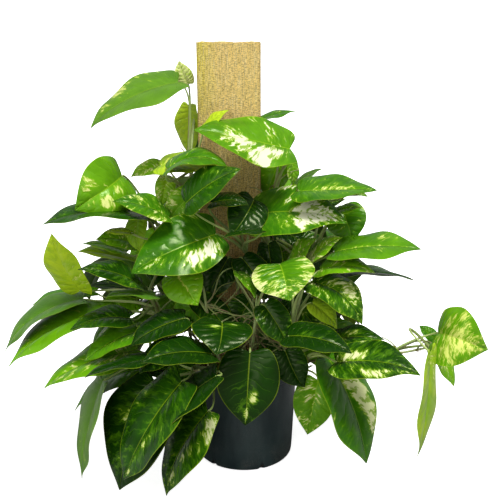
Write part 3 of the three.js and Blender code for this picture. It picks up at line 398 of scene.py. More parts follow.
def curve_at(points: Array, q: Array) -> Array:
    """Follows a smooth curve through points.

    Between two neighbours it is the Catmull-Rom cubic, with the end points mirrored.

    Args:
        points: The points that the curve passes.
        q: Places on it, from 0 at the first point to 1 at the last.

    Returns:
        One point for each q.
    """
    last = len(points) - 1
    span = np.minimum(np.floor(q * last), last - 1).astype(int)
    t = (q * last - span)[:, None]
    longer = np.vstack([2 * points[0] - points[1], points, 2 * points[-1] - points[-2]])
    weights = (-t + 2 * t**2 - t**3, 2 - 5 * t**2 + 3 * t**3, t + 4 * t**2 - 3 * t**3, -(t**2) + t**3)
    return sum(longer[span + k] * (0.5 * weight) for k, weight in enumerate(weights))


def bezier_at(points: Array, t: Array) -> Array:
    """Points of the cubic Bezier curve of four points, at the shares t."""
    r = 1 - t
    weights = np.stack([r**3, 3 * r**2 * t, 3 * r * t**2, t**3], axis=-1)
    return weights @ points


@dataclass(frozen=True)
class BladeForm:
    """The heart shape that all blades share, as shares of their length and width."""

    notch_depth: float = 0.16
    notch_angle: float = 0.4
    taper_power: float = 0.62
    point_pinch: float = 0.4
    point_power: int = 6
    vein_sweep: float = 2.0
    fold_rise: float = 0.3
    fold_fall: float = 0.22
    wave_height: float = 0.07
    wave_pace: float = 9.0

    def widest(self) -> float:
        """The taper's greatest value, where the blade is widest."""
        angle = math.atan(1 / math.sqrt(1 + self.taper_power))
        return math.sin(angle) * math.cos(angle) ** (1 + self.taper_power)

    def outline(self, s: Array) -> tuple[Array, Array, Array]:
        """Works out half of the outline.

        With the angle a = pi s, a vein leaves the midrib at the square of (1 - cos a) / 2 and
        ends at the margin at 1.16 times that sweep less a notch, 1 - exp(-(a / 0.4) squared).
        The half width is sin(a / 2) times cos(a / 2) to the power 1.62, pinched at the point.

        Args:
            s: Shares of the way from the stalk round to the point.

        Returns:
            The place on the midrib, the margin's place along and the half width, for each s.
        """
        angle = np.pi * s
        sweep = (1 - np.cos(angle)) / 2
        notch = 1 - np.exp(-((angle / self.notch_angle) ** 2))
        taper = np.sin(angle / 2) * np.abs(np.cos(angle / 2)) ** (1 + self.taper_power)
        half = 0.5 * taper * (1 - self.point_pinch * sweep**self.point_power) / self.widest()
        return sweep**self.vein_sweep, sweep * (1 + self.notch_depth) - self.notch_depth * notch, half


FORM = BladeForm()


@dataclass
class Blade:
    """One blade's frame: it runs from base along axis and faces along normal."""

    base: Array
    axis: Array
    normal: Array
    side: Array
    length: float
    width: float
    bow: float
    phase: float

    @classmethod
    def between(
        cls, base: Array, tip: Array, facing: Array, width: float, bow: float, phase: float
    ) -> "Blade":
        """Sets a blade between two points, with its face squared to the line between them."""
        length = float(np.linalg.norm(tip - base))
        axis = (tip - base) / length
        normal = square(facing, axis)
        return cls(base, axis, normal, np.cross(normal, axis), length, width, bow, phase)

    def surface(self, s: Array, t: Array, lift: Array | float = 0.0) -> Array:
        """Points of the blade.

        A point lies along the vein s, the share t of the way from midrib to margin. The blade
        arches by the parabola 4 bow x (1 - x), rises to each side as 0.3 t - 0.22 t squared of
        its half width, and its margin waves as the sine of 9 s.

        Args:
            s: Veins, from 0 at the stalk to 1 at the point.
            t: Places across, from -1 to 1, with the same shape as s.
            lift: Height over the blade's middle sheet.

        Returns:
            An array of points with a last axis of three.
        """
        rib, reach, half = FORM.outline(s)
        a = np.abs(t)
        x = rib + (reach - rib) * a
        slope = 4 * self.bow * (1 - 2 * x)
        dish = half * self.width * (FORM.fold_rise * a - FORM.fold_fall * a * a)
        ripple = np.sin(FORM.wave_pace * s + self.phase + np.sign(t))
        wave = FORM.wave_height * half * self.width * a * a * ripple
        rise = (lift + dish + wave) / np.hypot(1, slope)
        return (
            self.base
            + self.axis * (x * self.length - slope * rise)[..., None]
            + self.normal * (4 * self.bow * x * (1 - x) * self.length + rise)[..., None]
            + self.side * (t * half * self.width)[..., None]
        )


@dataclass
class Leaf:
    """A blade on its stalk, with the look it is given."""

    blade: Blade
    stalk: Array
    clashes: float = 0.0
    tint: Tint = PLAIN.value
    patches: tuple[Patch, ...] = ()
    curl: float = 0.0


@dataclass
class Draw:
    """Seeded draws between 0 and 1: each state is 1664525 times the last plus 1013904223."""

    state: int
    factor: int = 1664525
    step: int = 1013904223
    span: int = 2**32

    def __call__(self) -> float:
        """The next draw."""
        self.state = (self.state * self.factor + self.step) % self.span
        return self.state / self.span


@dataclass
class Room:
    """Cells that blades and stalks already hold, by the number of the vine that holds them."""

    cell: float = 8.0
    low: Triple = (-680.0, -520.0, -20.0)
    count: tuple[int, int, int] = (176, 140, 132)
    foreign_cost: float = 10.0
    least_z: float = 5.0
    fixed: int = 255

    def __post_init__(self) -> None:
        """Makes the two empty maps, with one spare cell for what falls outside."""
        size = self.count[0] * self.count[1] * self.count[2]
        self.blades = np.zeros(size + 1, np.uint8)
        self.stalks = np.zeros(size + 1, np.uint8)

    def cells(self, points: Array) -> Array:
        """The number of the cell that each point falls in."""
        ix, iy, iz = np.floor((points - np.array(self.low)) / self.cell).astype(np.int64).T
        found = ix + self.count[0] * (iy + self.count[1] * iz)
        spare = len(self.blades) - 1
        return np.where((found < 0) | (found > spare), spare, found)

    def cost(self, holders: Array, owner: int) -> Array:
        """What it costs to stand in cells: nothing in a free one, little in one's own, else much."""
        return np.where(holders == 0, 0.0, np.where(holders == owner, 1.0, self.foreign_cost))

    def blade_cost(self, points: Array, owner: int) -> float:
        """The cost of a blade that passes these points."""
        cells = self.cells(points)
        taken = self.cost(self.blades[cells], owner) + self.cost(self.stalks[cells], owner)
        return float((taken + np.where(points[:, 2] < self.least_z, self.foreign_cost, 0.0)).sum())

    def stalk_cost(self, points: Array, owner: int) -> float:
        """The cost of a stalk that passes these points; a vine's stalks may meet each other."""
        cells = self.cells(points)
        others = np.where(self.stalks[cells] == owner, 0, self.stalks[cells])
        return float((self.cost(self.blades[cells], owner) + self.cost(others, owner)).sum())

    def hold_rods(self, points: Array, radius: float, owner: int) -> None:
        """Takes the cells of points and of their six neighbours a radius away."""
        offsets = np.vstack([np.zeros(3), radius * np.eye(3), -radius * np.eye(3)])
        self.stalks[self.cells((points[:, None] + offsets).reshape(-1, 3))] = owner
        self.stalks[-1] = 0

    def hold_blade(self, points: Array, owner: int) -> None:
        """Takes the cells of a blade's points."""
        self.blades[self.cells(points)] = owner
        self.blades[-1] = 0


@dataclass
class Grower:
    """Places every leaf by the rule that the solids follow."""

    eye: Eye = Eye()
    room: Room = field(default_factory=Room)
    seed: int = 20240611
    stem_radius: float = 3.4
    buried_z: tuple[float, ...] = (150.0, 180.0, 205.0, 222.0)
    stem_ease: float = 0.3
    stem_samples: int = 200
    held_rod: float = 1.3
    stalk_radius: float = 1.7
    stalk_length: float = 115.0
    stalk_start: float = 0.3
    stalk_rise: float = 0.14
    stalk_end: float = 0.16
    stalk_sink: float = 0.2
    stalk_steps: int = 3
    stalk_samples: int = 30
    root_tries: int = 32
    root_last: float = 0.97
    root_below: float = 20.0
    root_high_cost: float = 0.6
    skin: float = 2.2
    rows: tuple[float, ...] = (0.0, 0.12, 0.28, 0.48, 0.74, 1.0)
    sample_rows: int = 40
    sample_columns: int = 24
    shifts: tuple[float, ...] = (0, -14, 14, -28, 28, -42, 42, -58, 58, -76, 76, -96, 96)
    bends: tuple[Pair, ...] = (
        (0, 0), (0.25, 0), (-0.25, 0), (0, 0.25), (0, -0.25),
        (0.4, 0.3), (-0.4, 0.3), (0.4, -0.3), (-0.4, -0.3),
    )
    noted_phase: float = 2.4
    fill_phase: float = 1.7
    fill_tries: int = 40
    fill_lowest: float = 0.6
    fill_near: float = -60.0
    fill_spread: float = 75.0
    fill_reach: Pair = (70.0, 150.0)
    fill_lengths: Pair = (140.0, 215.0)
    fill_rise: Pair = (10.0, 90.0)
    fill_drop: Pair = (10.0, 60.0)
    fill_tilt: float = 0.4
    fill_bow: float = 0.1
    fill_ratio: float = 0.66

    def __post_init__(self) -> None:
        """Works out which corners of the coarse blade each sample lies between."""
        rows = np.array(self.rows)
        s = np.arange(1, self.sample_rows + 1) / self.sample_rows
        t = 2 * np.arange(self.sample_columns + 1) / self.sample_columns - 1
        row = np.clip(np.searchsorted(rows, s, side="left") - 1, 0, len(rows) - 2)
        share = (s - rows[row]) / (rows[row + 1] - rows[row])
        along = np.zeros((len(s), len(rows)))
        along[np.arange(len(s)), row] = 1 - share
        along[np.arange(len(s)), row + 1] += share
        across = np.stack([np.maximum(-t, 0), 1 - np.abs(t), np.maximum(t, 0)], axis=-1)
        self.weights = np.einsum("ir,jc->ijrc", along, across).reshape(-1, len(rows) * 3)
        self.corner_s, self.corner_t = np.meshgrid(rows, [-1.0, 0.0, 1.0], indexing="ij")
        self.draw = Draw(self.seed)

    def blade_samples(self, blade: Blade, lift: float = 0.0) -> Array:
        """Points spread over the coarse blade's flat facets."""
        return self.weights @ blade.surface(self.corner_s, self.corner_t, lift).reshape(-1, 3)

    def stalk_samples_of(self, stalk: Array) -> Array:
        """Points spread along the coarse stalk's straight steps."""
        joints = bezier_at(stalk, np.arange(self.stalk_steps + 1) / self.stalk_steps)
        place = np.arange(self.stalk_samples + 1) * self.stalk_steps / self.stalk_samples
        step = np.minimum(np.floor(place), self.stalk_steps - 1).astype(int)
        share = (place - step)[:, None]
        return joints[step] + (joints[step + 1] - joints[step]) * share

    def stem_points(self, course: tuple[Triple, ...]) -> Array:
        """The points a stem passes: straight up out of its hole, then along its course."""
        x, y, _ = course[0]
        shown = np.array(course, float)
        rising = shown[0] + (shown[1] - shown[0]) * self.stem_ease
        return np.vstack([[[x, y, z] for z in self.buried_z], shown[0], rising, shown[1:]])

    def hold_fixed(self, pot: "Pot", soil: "Soil", board: "Board", step: float = 5.0) -> None:
        """Takes the cells of board, pot and soil.

        Args:
            pot: The pot, for its radii and height.
            soil: The soil, for its height.
            board: The board, for its size and place.
            step: Distance between the points that are taken.
        """
        last = 1e-9
        z = np.arange(soil.top, board.top_z + last, step)
        x = np.arange(-board.width / 2, board.width / 2 + last, step)
        y = np.arange(-board.thickness / 2, board.thickness / 2 + last, board.thickness / 4)
        zz, xx, yy = (a.ravel() for a in np.meshgrid(z, x, y, indexing="ij"))
        points = np.stack([board.middle(zz) + xx, board.y + yy, zz], axis=-1)
        turn = np.radians(np.arange(0, 360, 2))
        wall_z = np.arange(0, pot.height + last, step)
        wall = turned(mix(pot.foot_radius, pot.top_radius, wall_z / pot.height), wall_z, turn)
        radius = np.arange(0, pot.top_radius, step)
        ground = turned(radius, np.full_like(radius, soil.top), turn)
        everything = np.vstack([points, wall.reshape(-1, 3), ground.reshape(-1, 3)])
        self.room.stalks[self.room.cells(everything)] = self.room.fixed

    def stalk_for(self, root: Array, blade: Blade, bend: Pair) -> Array:
        """The four points of a stalk's curve.

        It leaves the stem outwards and upwards, and meets the blade from behind and below.

        Args:
            root: Where it leaves the stem.
            blade: The blade it carries.
            bend: How far it is bent aside and up, as shares of its span.

        Returns:
            Root, two guiding points and the blade's base.
        """
        span = float(np.linalg.norm(blade.base - root))
        heading = (blade.base - root) / span
        crosswise = unit(np.cross(heading, UP) + RIGHT * 1e-3)
        lift = np.cross(crosswise, heading)
        aside = crosswise * bend[0] * span + lift * bend[1] * span
        first = root + heading * self.stalk_start * span + UP * self.stalk_rise * span + aside
        drop = blade.axis * self.stalk_end * span
        second = blade.base - drop - blade.normal * self.stalk_sink * span + aside
        return np.array([root, first, second, blade.base])

    def root_for(self, stem: Array, base: Array) -> Array:
        """The stem point a leaf grows from: about a stalk's length away and no higher."""
        shown = len(self.buried_z) / (len(stem) - 1)
        share = np.arange(self.root_tries + 1) / self.root_tries
        points = curve_at(stem, mix(shown, self.root_last, share))
        above = np.maximum(0, points[:, 2] - base[2] + self.root_below)
        away = np.abs(np.linalg.norm(points - base, axis=1) - self.stalk_length)
        return points[np.argmin(away + self.root_high_cost * above)]

    def choose(self, blades: list[Blade], stem: Array, owner: int) -> Leaf | None:
        """Tries blades in turn, each with every bend of its stalk, and keeps the first clear one.

        Args:
            blades: The blades to try.
            stem: The stem's points.
            owner: The vine's number.

        Returns:
            The leaf that costs least, or None where there is no blade.
        """
        best, least = None, math.inf
        for blade in blades:
            crossed = self.room.blade_cost(self.blade_samples(blade), owner)
            if crossed >= least:
                continue
            root = self.root_for(stem, blade.base)
            for bend in self.bends:
                stalk = self.stalk_for(root, blade, bend)
                clashes = crossed + self.room.stalk_cost(self.stalk_samples_of(stalk), owner)
                if clashes < least:
                    least, best = clashes, Leaf(blade, stalk, clashes)
                if least == 0:
                    return best
        return best

    def settle(self, leaf: Leaf, owner: int) -> None:
        """Takes the cells of a chosen leaf."""
        for lift in (-self.skin, 0.0, self.skin):
            self.room.hold_blade(self.blade_samples(leaf.blade, lift), owner)
        self.room.hold_rods(self.stalk_samples_of(leaf.stalk), 2 * self.stalk_radius, owner)

    def noted_blade(self, note: NotedLeaf, shift: float, phase: float) -> Blade:
        """Sets a noted leaf in space; its breadth in the view gives how far its face turns away."""
        base = self.eye.place_at(note.base[0], note.base[1], note.base[2] + shift)
        tip = self.eye.place_at(note.tip[0], note.tip[1], note.tip[2] + shift)
        length = float(np.linalg.norm(tip - base))
        axis = (tip - base) / length
        seen = note.breadth * float(self.eye.seen_at(base[None])[2][0]) / self.eye.focus
        width = max(note.ratio * length, seen)
        turn = math.acos(min(1.0, seen / width))
        to_eye = square(np.array(self.eye.place) - base, axis)
        aside = np.cross(axis, to_eye)
        if aside.dot(np.array(note.lean.value)) < 0:
            aside = -aside
        facing = to_eye * math.cos(turn) + aside * math.sin(turn)
        return Blade.between(base, tip, facing, width, note.bow, phase)

    def fill_blade(self, stem: Array, phase: float) -> Blade:
        """Draws a leaf that grows outwards and droops, with its face to the sky."""
        start = curve_at(stem, np.array([mix(self.fill_lowest, 1, self.draw())]))[0]
        spread = math.radians(self.fill_spread * (2 * self.draw() - 1))
        heading = math.atan2(start[1], start[0]) + spread
        out = np.array([math.cos(heading), math.sin(heading), 0.0])
        reach = mix(*self.fill_reach, self.draw())
        base = start + out * reach + UP * mix(*self.fill_rise, self.draw())
        drop = math.radians(mix(*self.fill_drop, self.draw()))
        length = mix(*self.fill_lengths, self.draw())
        tip = base + out * length * math.cos(drop) - UP * length * math.sin(drop)
        facing = UP + out * self.fill_tilt
        return Blade.between(base, tip, facing, self.fill_ratio * length, self.fill_bow, phase)

    def stays_inside(self, blade: Blade) -> bool:
        """True if a fill blade stays at the back and inside the plant's outline."""
        points = self.blade_samples(blade)
        u, v, _ = self.eye.seen_at(points)
        return bool((points[:, 1] > self.fill_near).all() and inside_outline(u, v).all())

    def grow_noted(self, plan: VinePlan, stem: Array, owner: int) -> list[Leaf]:
        """Places the noted leaves of a vine."""
        leaves = []
        for index, note in enumerate(plan.leaves):
            blades = [self.noted_blade(note, shift, self.noted_phase * index) for shift in self.shifts]
            leaf = self.choose(blades, stem, owner)
            leaf.tint, leaf.patches, leaf.curl = note.look.value, note.patches, note.curl
            self.settle(leaf, owner)
            leaves.append(leaf)
        return leaves

    def grow_fill(self, plan: VinePlan, stem: Array, owner: int) -> list[Leaf]:
        """Places the fill leaves of a vine, each only where it is clear of all others."""
        leaves = []
        looks = (PLAIN, DARK, FLECKED, PLAIN, BRIGHT, STRIPED, PLAIN, CREAMY)
        for index in range(plan.fill):
            tries = [self.fill_blade(stem, self.fill_phase * index) for _ in range(self.fill_tries)]
            inside = [blade for blade in tries if self.stays_inside(blade)]
            leaf = self.choose(inside, stem, owner)
            if leaf is not None and leaf.clashes == 0:
                leaf.tint = looks[(index + 3 * owner) % len(looks)].value
                leaves.append(leaf)
                self.settle(leaf, owner)
        return leaves

    def grow(self, plans: tuple[VinePlan, ...]) -> tuple[list[Array], list[list[Leaf]]]:
        """Places all leaves: every vine's noted leaves first, then the fill leaves.

        Args:
            plans: The vines.

        Returns:
            The stems' points and the leaves, vine by vine.
        """
        stems = [self.stem_points(plan.course) for plan in plans]
        for owner, stem in enumerate(stems, 1):
            points = curve_at(stem, np.arange(self.stem_samples + 1) / self.stem_samples)
            self.room.hold_rods(points, self.held_rod * self.stem_radius, owner)
        owned = list(zip(plans, stems, range(1, len(plans) + 1)))
        first = [self.grow_noted(*one) for one in owned]
        second = [self.grow_fill(*one) for one in owned]
        return stems, [a + b for a, b in zip(first, second)]


MARKS = ("tone", "share", "milk", "dull", "seed", "under")


def turned(radius: Array, z: Array, turn: Array) -> Array:
    """Rings round +Z, with a radius for each ring and a height for each ring or point."""
    high = np.broadcast_to(np.reshape(z, (len(radius), -1)), (len(radius), len(turn)))
    return np.stack([np.outer(radius, np.cos(turn)), np.outer(radius, np.sin(turn)), high], axis=-1)


@dataclass
class Skin:
    """Gathers closed tubes into one mesh with its UV map, marks and material slots."""

    name: str
    materials: tuple[Material, ...]
    points: list[Array] = field(default_factory=list)
    faces: list[Array] = field(default_factory=list)
    slots: list[Array] = field(default_factory=list)
    places: list[Array] = field(default_factory=list)
    marks: dict[str, list[Array]] = field(default_factory=dict)
    total: int = 0

    def add_tubes(self, rings: Array, places: Array, slot: int, **marks: Array | float) -> None:
        """Adds tubes that are closed at both ends.

        Neighbouring rings are joined by quads, and an end ring is closed by quads between its
        corners j and m - 1 - j. A tube's faces are turned over where its volume is negative.

        Args:
            rings: Points with the shape (tubes, rings, corners of a ring, 3), in millimetres.
            places: UV places with the same shape, but a last axis of two.
            slot: The material slot of the faces.
            **marks: Numbers for each point that the materials read, by name.
        """
        tubes, rows, corners, _ = rings.shape
        number = np.arange(rows * corners).reshape(rows, corners)
        onward = np.roll(number, -1, axis=1)
        wall = np.stack([number[:-1], onward[:-1], onward[1:], number[1:]], axis=-1).reshape(-1, 4)
        j = np.arange(corners // 2 - 1)
        cap = np.stack([j, j + 1, corners - 2 - j, corners - 1 - j], axis=-1)
        quads = np.vstack([wall, cap[:, [1, 0, 3, 2]], cap + (rows - 1) * corners])
        for tube in rings.reshape(tubes, -1, 3):
            a, b, c, d = (tube[quads[:, k]] - tube[0] for k in range(4))
            volume = (np.cross(a, b) * c).sum() + (np.cross(a, c) * d).sum()
            self.faces.append((quads if volume > 0 else quads[:, ::-1]) + self.total)
            self.slots.append(np.full(len(quads), slot))
            self.total += len(tube)
        self.points.append(rings.reshape(-1, 3))
        self.places.append(places.reshape(-1, 2))
        for mark in MARKS:
            values = np.broadcast_to(np.asarray(marks.get(mark, 0.0), float), (tubes, rows, corners))
            self.marks.setdefault(mark, []).append(values.ravel())

    def make(self, sharp: float = 55.0) -> Object:
        """Puts everything gathered into a mesh object at the origin.

        Args:
            sharp: Edges that fold by more than this many degrees stay sharp.

        Returns:
            The object.
        """
        points = np.vstack(self.points) * MM
        faces = np.vstack(self.faces)
        mesh = new_mesh(self.name, points, faces, np.concatenate(self.slots), self.materials, sharp)
        layer = mesh.uv_layers.new(name="form")
        numbers = np.empty(len(mesh.loops), np.int32)
        mesh.loops.foreach_get("vertex_index", numbers)
        layer.data.foreach_set("uv", np.vstack(self.places)[numbers].astype(np.float32).ravel())
        for mark, values in self.marks.items():
            attribute = mesh.attributes.new(mark, "FLOAT", "POINT")
            attribute.data.foreach_set("value", np.concatenate(values).astype(np.float32))
        return link(bpy.data.objects.new(self.name, mesh))


def plain_piece(
    name: str, finish: Material, tubes: tuple[Array, ...], sharp: float, **marks: Array
) -> Object:
    """Makes a piece of closed tubes in one finish that reads no UV map.

    Args:
        name: Its name.
        finish: Its material.
        tubes: The tubes' rings, as Skin.add_tubes takes them.
        sharp: Edges that fold by more than this many degrees stay sharp.
        **marks: Numbers for each point that the finish reads.

    Returns:
        The piece.
    """
    skin = Skin(name, (finish,))
    for rings in tubes:
        skin.add_tubes(rings, np.zeros((*rings.shape[:3], 2)), 0, **marks)
    return skin.make(sharp)


def new_mesh(
    name: str, points: Array, faces: Array, slots: Array, materials: tuple[Material, ...],
    sharp: float = 40.0,
) -> Mesh:
    """Makes a smooth mesh from arrays.

    Args:
        name: The mesh's name.
        points: Vertices in metres.
        faces: Vertex numbers, one face a row; every face has as many corners as there are columns.
        slots: The material slot of each face.
        materials: The materials of the slots.
        sharp: Edges that fold by more than this many degrees stay sharp.

    Returns:
        The mesh.
    """
    mesh = bpy.data.meshes.new(name)
    mesh.vertices.add(len(points))
    mesh.vertices.foreach_set("co", points.astype(np.float32).ravel())
    mesh.loops.add(faces.size)
    mesh.loops.foreach_set("vertex_index", faces.astype(np.int32).ravel())
    mesh.polygons.add(len(faces))
    mesh.polygons.foreach_set("loop_start", np.arange(0, faces.size, faces.shape[1], dtype=np.int32))
    for material in materials:
        mesh.materials.append(material)
    mesh.polygons.foreach_set("material_index", slots.astype(np.int32))
    mesh.polygons.foreach_set("use_smooth", np.ones(len(faces), bool))
    mesh.update(calc_edges=True)
    mesh.set_sharp_from_angle(angle=math.radians(sharp))
    return mesh


def link(piece: Object) -> Object:
    """Puts an object into the scene."""
    bpy.context.scene.collection.objects.link(piece)
    return piece


def stand_for(piece: Object, node: str) -> Object:
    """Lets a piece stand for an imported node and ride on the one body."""
    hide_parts(node)
    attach(piece, "root")
    return piece


def carried_frames(centres: Array, side: Array) -> tuple[Array, Array]:
    """Carries a side direction back along curves, squared to them at each point.

    Args:
        centres: Points with the shape (curves, points, 3).
        side: The side direction at each curve's last point, one row a curve.

    Returns:
        The directions across and over each curve at each point.
    """
    tangents = np.gradient(centres, axis=1)
    tangents /= np.linalg.norm(tangents, axis=-1, keepdims=True)
    across = np.empty_like(centres)
    current = side
    for row in range(centres.shape[1] - 1, -1, -1):
        tangent = tangents[:, row]
        current = current - tangent * (current * tangent).sum(-1, keepdims=True)
        current = current / np.linalg.norm(current, axis=-1, keepdims=True)
        across[:, row] = current
    return across, np.cross(tangents, across)


def rods(centres: Array, side: Array, radii: Array, corners: int, first: float) -> Array:
    """Carries a round section along curves.

    Args:
        centres: Points with the shape (curves, points, 3).
        side: The side direction at each curve's last point.
        radii: Radii with the shape (curves, points, corners), or one that spreads to it.
        corners: Corners of the section.
        first: Turn of the first corner, from the side direction.

    Returns:
        Rings with the shape (curves, points, corners, 3).
    """
    across, over = carried_frames(centres, side)
    turn = first + 2 * np.pi * np.arange(corners) / corners
    spread = across[:, :, None] * np.cos(turn)[:, None] + over[:, :, None] * np.sin(turn)[:, None]
    return centres[:, :, None] + spread * np.broadcast_to(radii, spread.shape[:3])[..., None]


def rod_places(rings: Array) -> Array:
    """UV places of rods: round the section and along the curve."""
    curves, rows, corners, _ = rings.shape
    around, along = np.meshgrid(np.arange(corners) / corners, np.linspace(0, 1, rows))
    return np.broadcast_to(np.stack([around, along], axis=-1), (curves, rows, corners, 2))


@dataclass
class Foliage:
    """Turns placed leaves and stems into fine closed surfaces."""

    blade_rows: int = 48
    blade_columns: int = 18
    blade_start: float = 0.02
    blade_end: float = 0.99
    crowding: float = 1.35
    thickness: float = 0.7
    groove_depth: float = 0.7
    groove_width: float = 1.7
    rib_depth: float = 1.6
    rib_width: float = 1.5
    frill: float = 0.05
    frill_pace: float = 21.0
    tip_curl: float = 0.045
    tip_droop: float = 0.02
    tip_from: float = 0.7
    fullness: float = 0.9
    sickle: float = 0.03
    curl_back: Pair = (0.2, 0.3)
    curl_from: float = 0.45
    stalk_rows: int = 18
    stalk_corners: int = 10
    stalk_radius: float = 2.1
    stem_step: float = 5.0
    stem_corners: int = 12
    stem_radii: Pair = (3.4, 2.6)
    node_swell: float = 0.9
    node_reach: float = 4.0
    node_spacing: float = 38.0
    roots_above: float = 240.0
    roots_at_node: int = 3
    root_reach: Pair = (14.0, 52.0)
    bare_reach: Pair = (40.0, 95.0)
    crossings: int = 120
    crossing_radius: Pair = (1.0, 2.2)
    crossing_rows: int = 14
    root_rows: int = 9
    root_corners: int = 6
    spear_length: float = 34.0

    def blade_rings(self, leaf: Leaf) -> tuple[Array, Array, Array, Array]:
        """Works out one blade as a flat closed tube: across its face and back across its underside.

        To the shared form it adds a groove along the midrib, exp(-(distance / 1.7) squared), a
        rib below it that thins towards the point, a finer frill of the margin, the sine of 21 s,
        and a point that bends aside with the square of what lies past 0.7 of the length. With
        the sweep w along the midrib the blade is wider by the share 0.9 w squared (1 - w), and
        its midrib bends aside as x (1 - x).

        Args:
            leaf: The leaf.

        Returns:
            Its rings, their UV places, and its points' share and under marks.
        """
        blade = leaf.blade
        q = np.linspace(0, 1, self.blade_rows)
        s = mix(self.blade_start, self.blade_end, q * (0.55 + 0.45 * q))
        tau = np.linspace(-1, 1, self.blade_columns + 1)
        t = np.sign(tau) * np.abs(tau) ** self.crowding
        ss, tt = np.meshgrid(s, t, indexing="ij")
        rib, reach, half = FORM.outline(ss)
        sweep = (1 - np.cos(np.pi * ss)) / 2
        wide_t = tt * (1 + self.fullness * sweep**2 * (1 - sweep))
        x = np.clip(rib + (reach - rib) * np.abs(tt), 0, 1)
        away = np.abs(tt) * half * blade.width
        waves = np.sin(self.frill_pace * ss + 2.7 * blade.phase + 2 * np.sign(tt))
        frill = self.frill * half * blade.width * tt**4 * waves
        groove = self.groove_depth * np.exp(-((away / self.groove_width) ** 2)) * np.sqrt(1 - x)
        ridge = self.rib_depth * np.exp(-((away / self.rib_width) ** 2)) * (1 - 0.85 * x)
        past = np.maximum(0, x - self.tip_from) / (1 - self.tip_from)
        rolled = np.maximum(0, x - self.curl_from) / (1 - self.curl_from)
        back, below = self.curl_back
        roll = -(blade.axis * back + blade.normal * below) * (leaf.curl * blade.length)
        sickle = blade.side * (4 * self.sickle * blade.length * math.sin(3.1 * blade.phase + 1.0))
        bend = blade.side * (self.tip_curl * blade.length * math.sin(1.9 * blade.phase + 0.6))
        bend = bend - blade.normal * (self.tip_droop * blade.length)
        sheets = [
            blade.surface(ss, wide_t, frill + lift) + bend * (past**2)[..., None]
            + roll * (rolled**2)[..., None] + sickle * (x * (1 - x))[..., None]
            for lift in (self.thickness / 2 - groove, -self.thickness / 2 - ridge)
        ]
        rings = np.concatenate([sheets[0], sheets[1][:, ::-1]], axis=1)
        place = np.stack([ss, (tt + 1) / 2], axis=-1)
        places = np.concatenate([place, place[:, ::-1]], axis=1)
        share = np.full_like(ss, leaf.tint.share)
        for along, across, long, wide, amount in leaf.patches:
            share = share + amount * np.exp(-(((ss - along) / long) ** 2) - ((tt - across) / wide) ** 2)
        under = np.concatenate([np.zeros_like(ss), np.ones_like(ss)], axis=1)
        return rings, places, np.concatenate([share, share[:, ::-1]], axis=1), under

    def add_blades(self, skin: Skin, leaves: list[Leaf], seeds: Array) -> None:
        """Adds the blades of a vine."""
        rings, places, share, under = (np.stack(part) for part in zip(*map(self.blade_rings, leaves)))
        jitter = (seeds - 0.5)[:, None, None]
        tone, milk, dull = (
            np.array([getattr(leaf.tint, kind) for leaf in leaves])[:, None, None]
            for kind in ("tone", "milk", "dull")
        )
        skin.add_tubes(
            rings, places, 0, tone=tone + 0.16 * jitter, share=share + 0.06 * jitter,
            milk=milk, dull=dull, seed=seeds[:, None, None], under=under,
        )

    def add_stalks(self, skin: Skin, leaves: list[Leaf], seeds: Array) -> None:
        """Adds the stalks of a vine.

        A stalk has a channel along its upper side, a wing to each side of it over its lower
        half, and a swelling just below the blade.
        """
        q = np.linspace(0, 1, self.stalk_rows)
        centres = np.stack([bezier_at(leaf.stalk, q) for leaf in leaves])
        centres[:, -1] += np.stack([leaf.blade.axis for leaf in leaves]) * 2.0
        side = np.stack([leaf.blade.side for leaf in leaves])
        swell = 0.35 * np.exp(-(((q - 0.94) / 0.04) ** 2))
        radius = self.stalk_radius * (1.3 - 0.4 * q + swell)
        section = np.ones(self.stalk_corners)
        section[0] = 0.68
        wings = np.zeros(self.stalk_corners)
        wings[[1, -1]] = 1.0
        winged = np.clip(q / 0.05, 0, 1) * np.clip((0.6 - q) / 0.12, 0, 1)
        radii = radius[:, None] * (section + 0.75 * np.outer(winged, wings))
        rings = rods(centres, side, radii, self.stalk_corners, -np.pi / 2)
        dry = np.outer(winged, wings) * 0.8 + 0.1
        tone = np.array([leaf.tint.tone for leaf in leaves])[:, None, None]
        skin.add_tubes(rings, rod_places(rings), 1, tone=tone, share=dry, seed=seeds[:, None, None])

    def add_stem(self, skin: Skin, stem: Array, leaves: list[Leaf], seed: float) -> None:
        """Adds a stem with its swollen nodes, what grows at them and the rolled young leaf at its tip.

        The radius falls evenly to the tip and swells by exp(-(distance / 4) squared) at a node.
        """
        fine = curve_at(stem, np.linspace(0, 1, 1200))
        gone = np.concatenate([[0], np.cumsum(np.linalg.norm(np.diff(fine, axis=0), axis=1))])
        rows = int(gone[-1] / self.stem_step) + 2
        length = np.linspace(0, gone[-1], rows)
        centres = np.stack([np.interp(length, gone, fine[:, k]) for k in range(3)], axis=-1)
        at_leaves = [gone[np.argmin(np.linalg.norm(fine - leaf.stalk[0], axis=1))] for leaf in leaves]
        regular = np.arange(0.6 * self.node_spacing, gone[-1] - 30, self.node_spacing) + 20 * seed
        nodes = np.array([*at_leaves, *regular])
        swell = np.exp(-(((length[:, None] - nodes) / self.node_reach) ** 2)).sum(axis=1)
        swell, height = np.minimum(swell, 1), length / gone[-1]
        radius = mix(*self.stem_radii, height) + self.node_swell * swell
        rings = rods(centres[None], RIGHT[None], radius[:, None], self.stem_corners, 0.0)
        tone = np.clip(height, 0, 1)[:, None]
        skin.add_tubes(rings, rod_places(rings), 2, share=swell[:, None], tone=tone, seed=seed)
        joints = np.stack([np.interp(regular, gone, fine[:, k]) for k in range(3)], axis=-1)
        joints = joints[joints[:, 2] > self.roots_above]
        if len(joints):
            self.add_old_growth(skin, joints, seed)
        self.add_spear(skin, centres, seed)

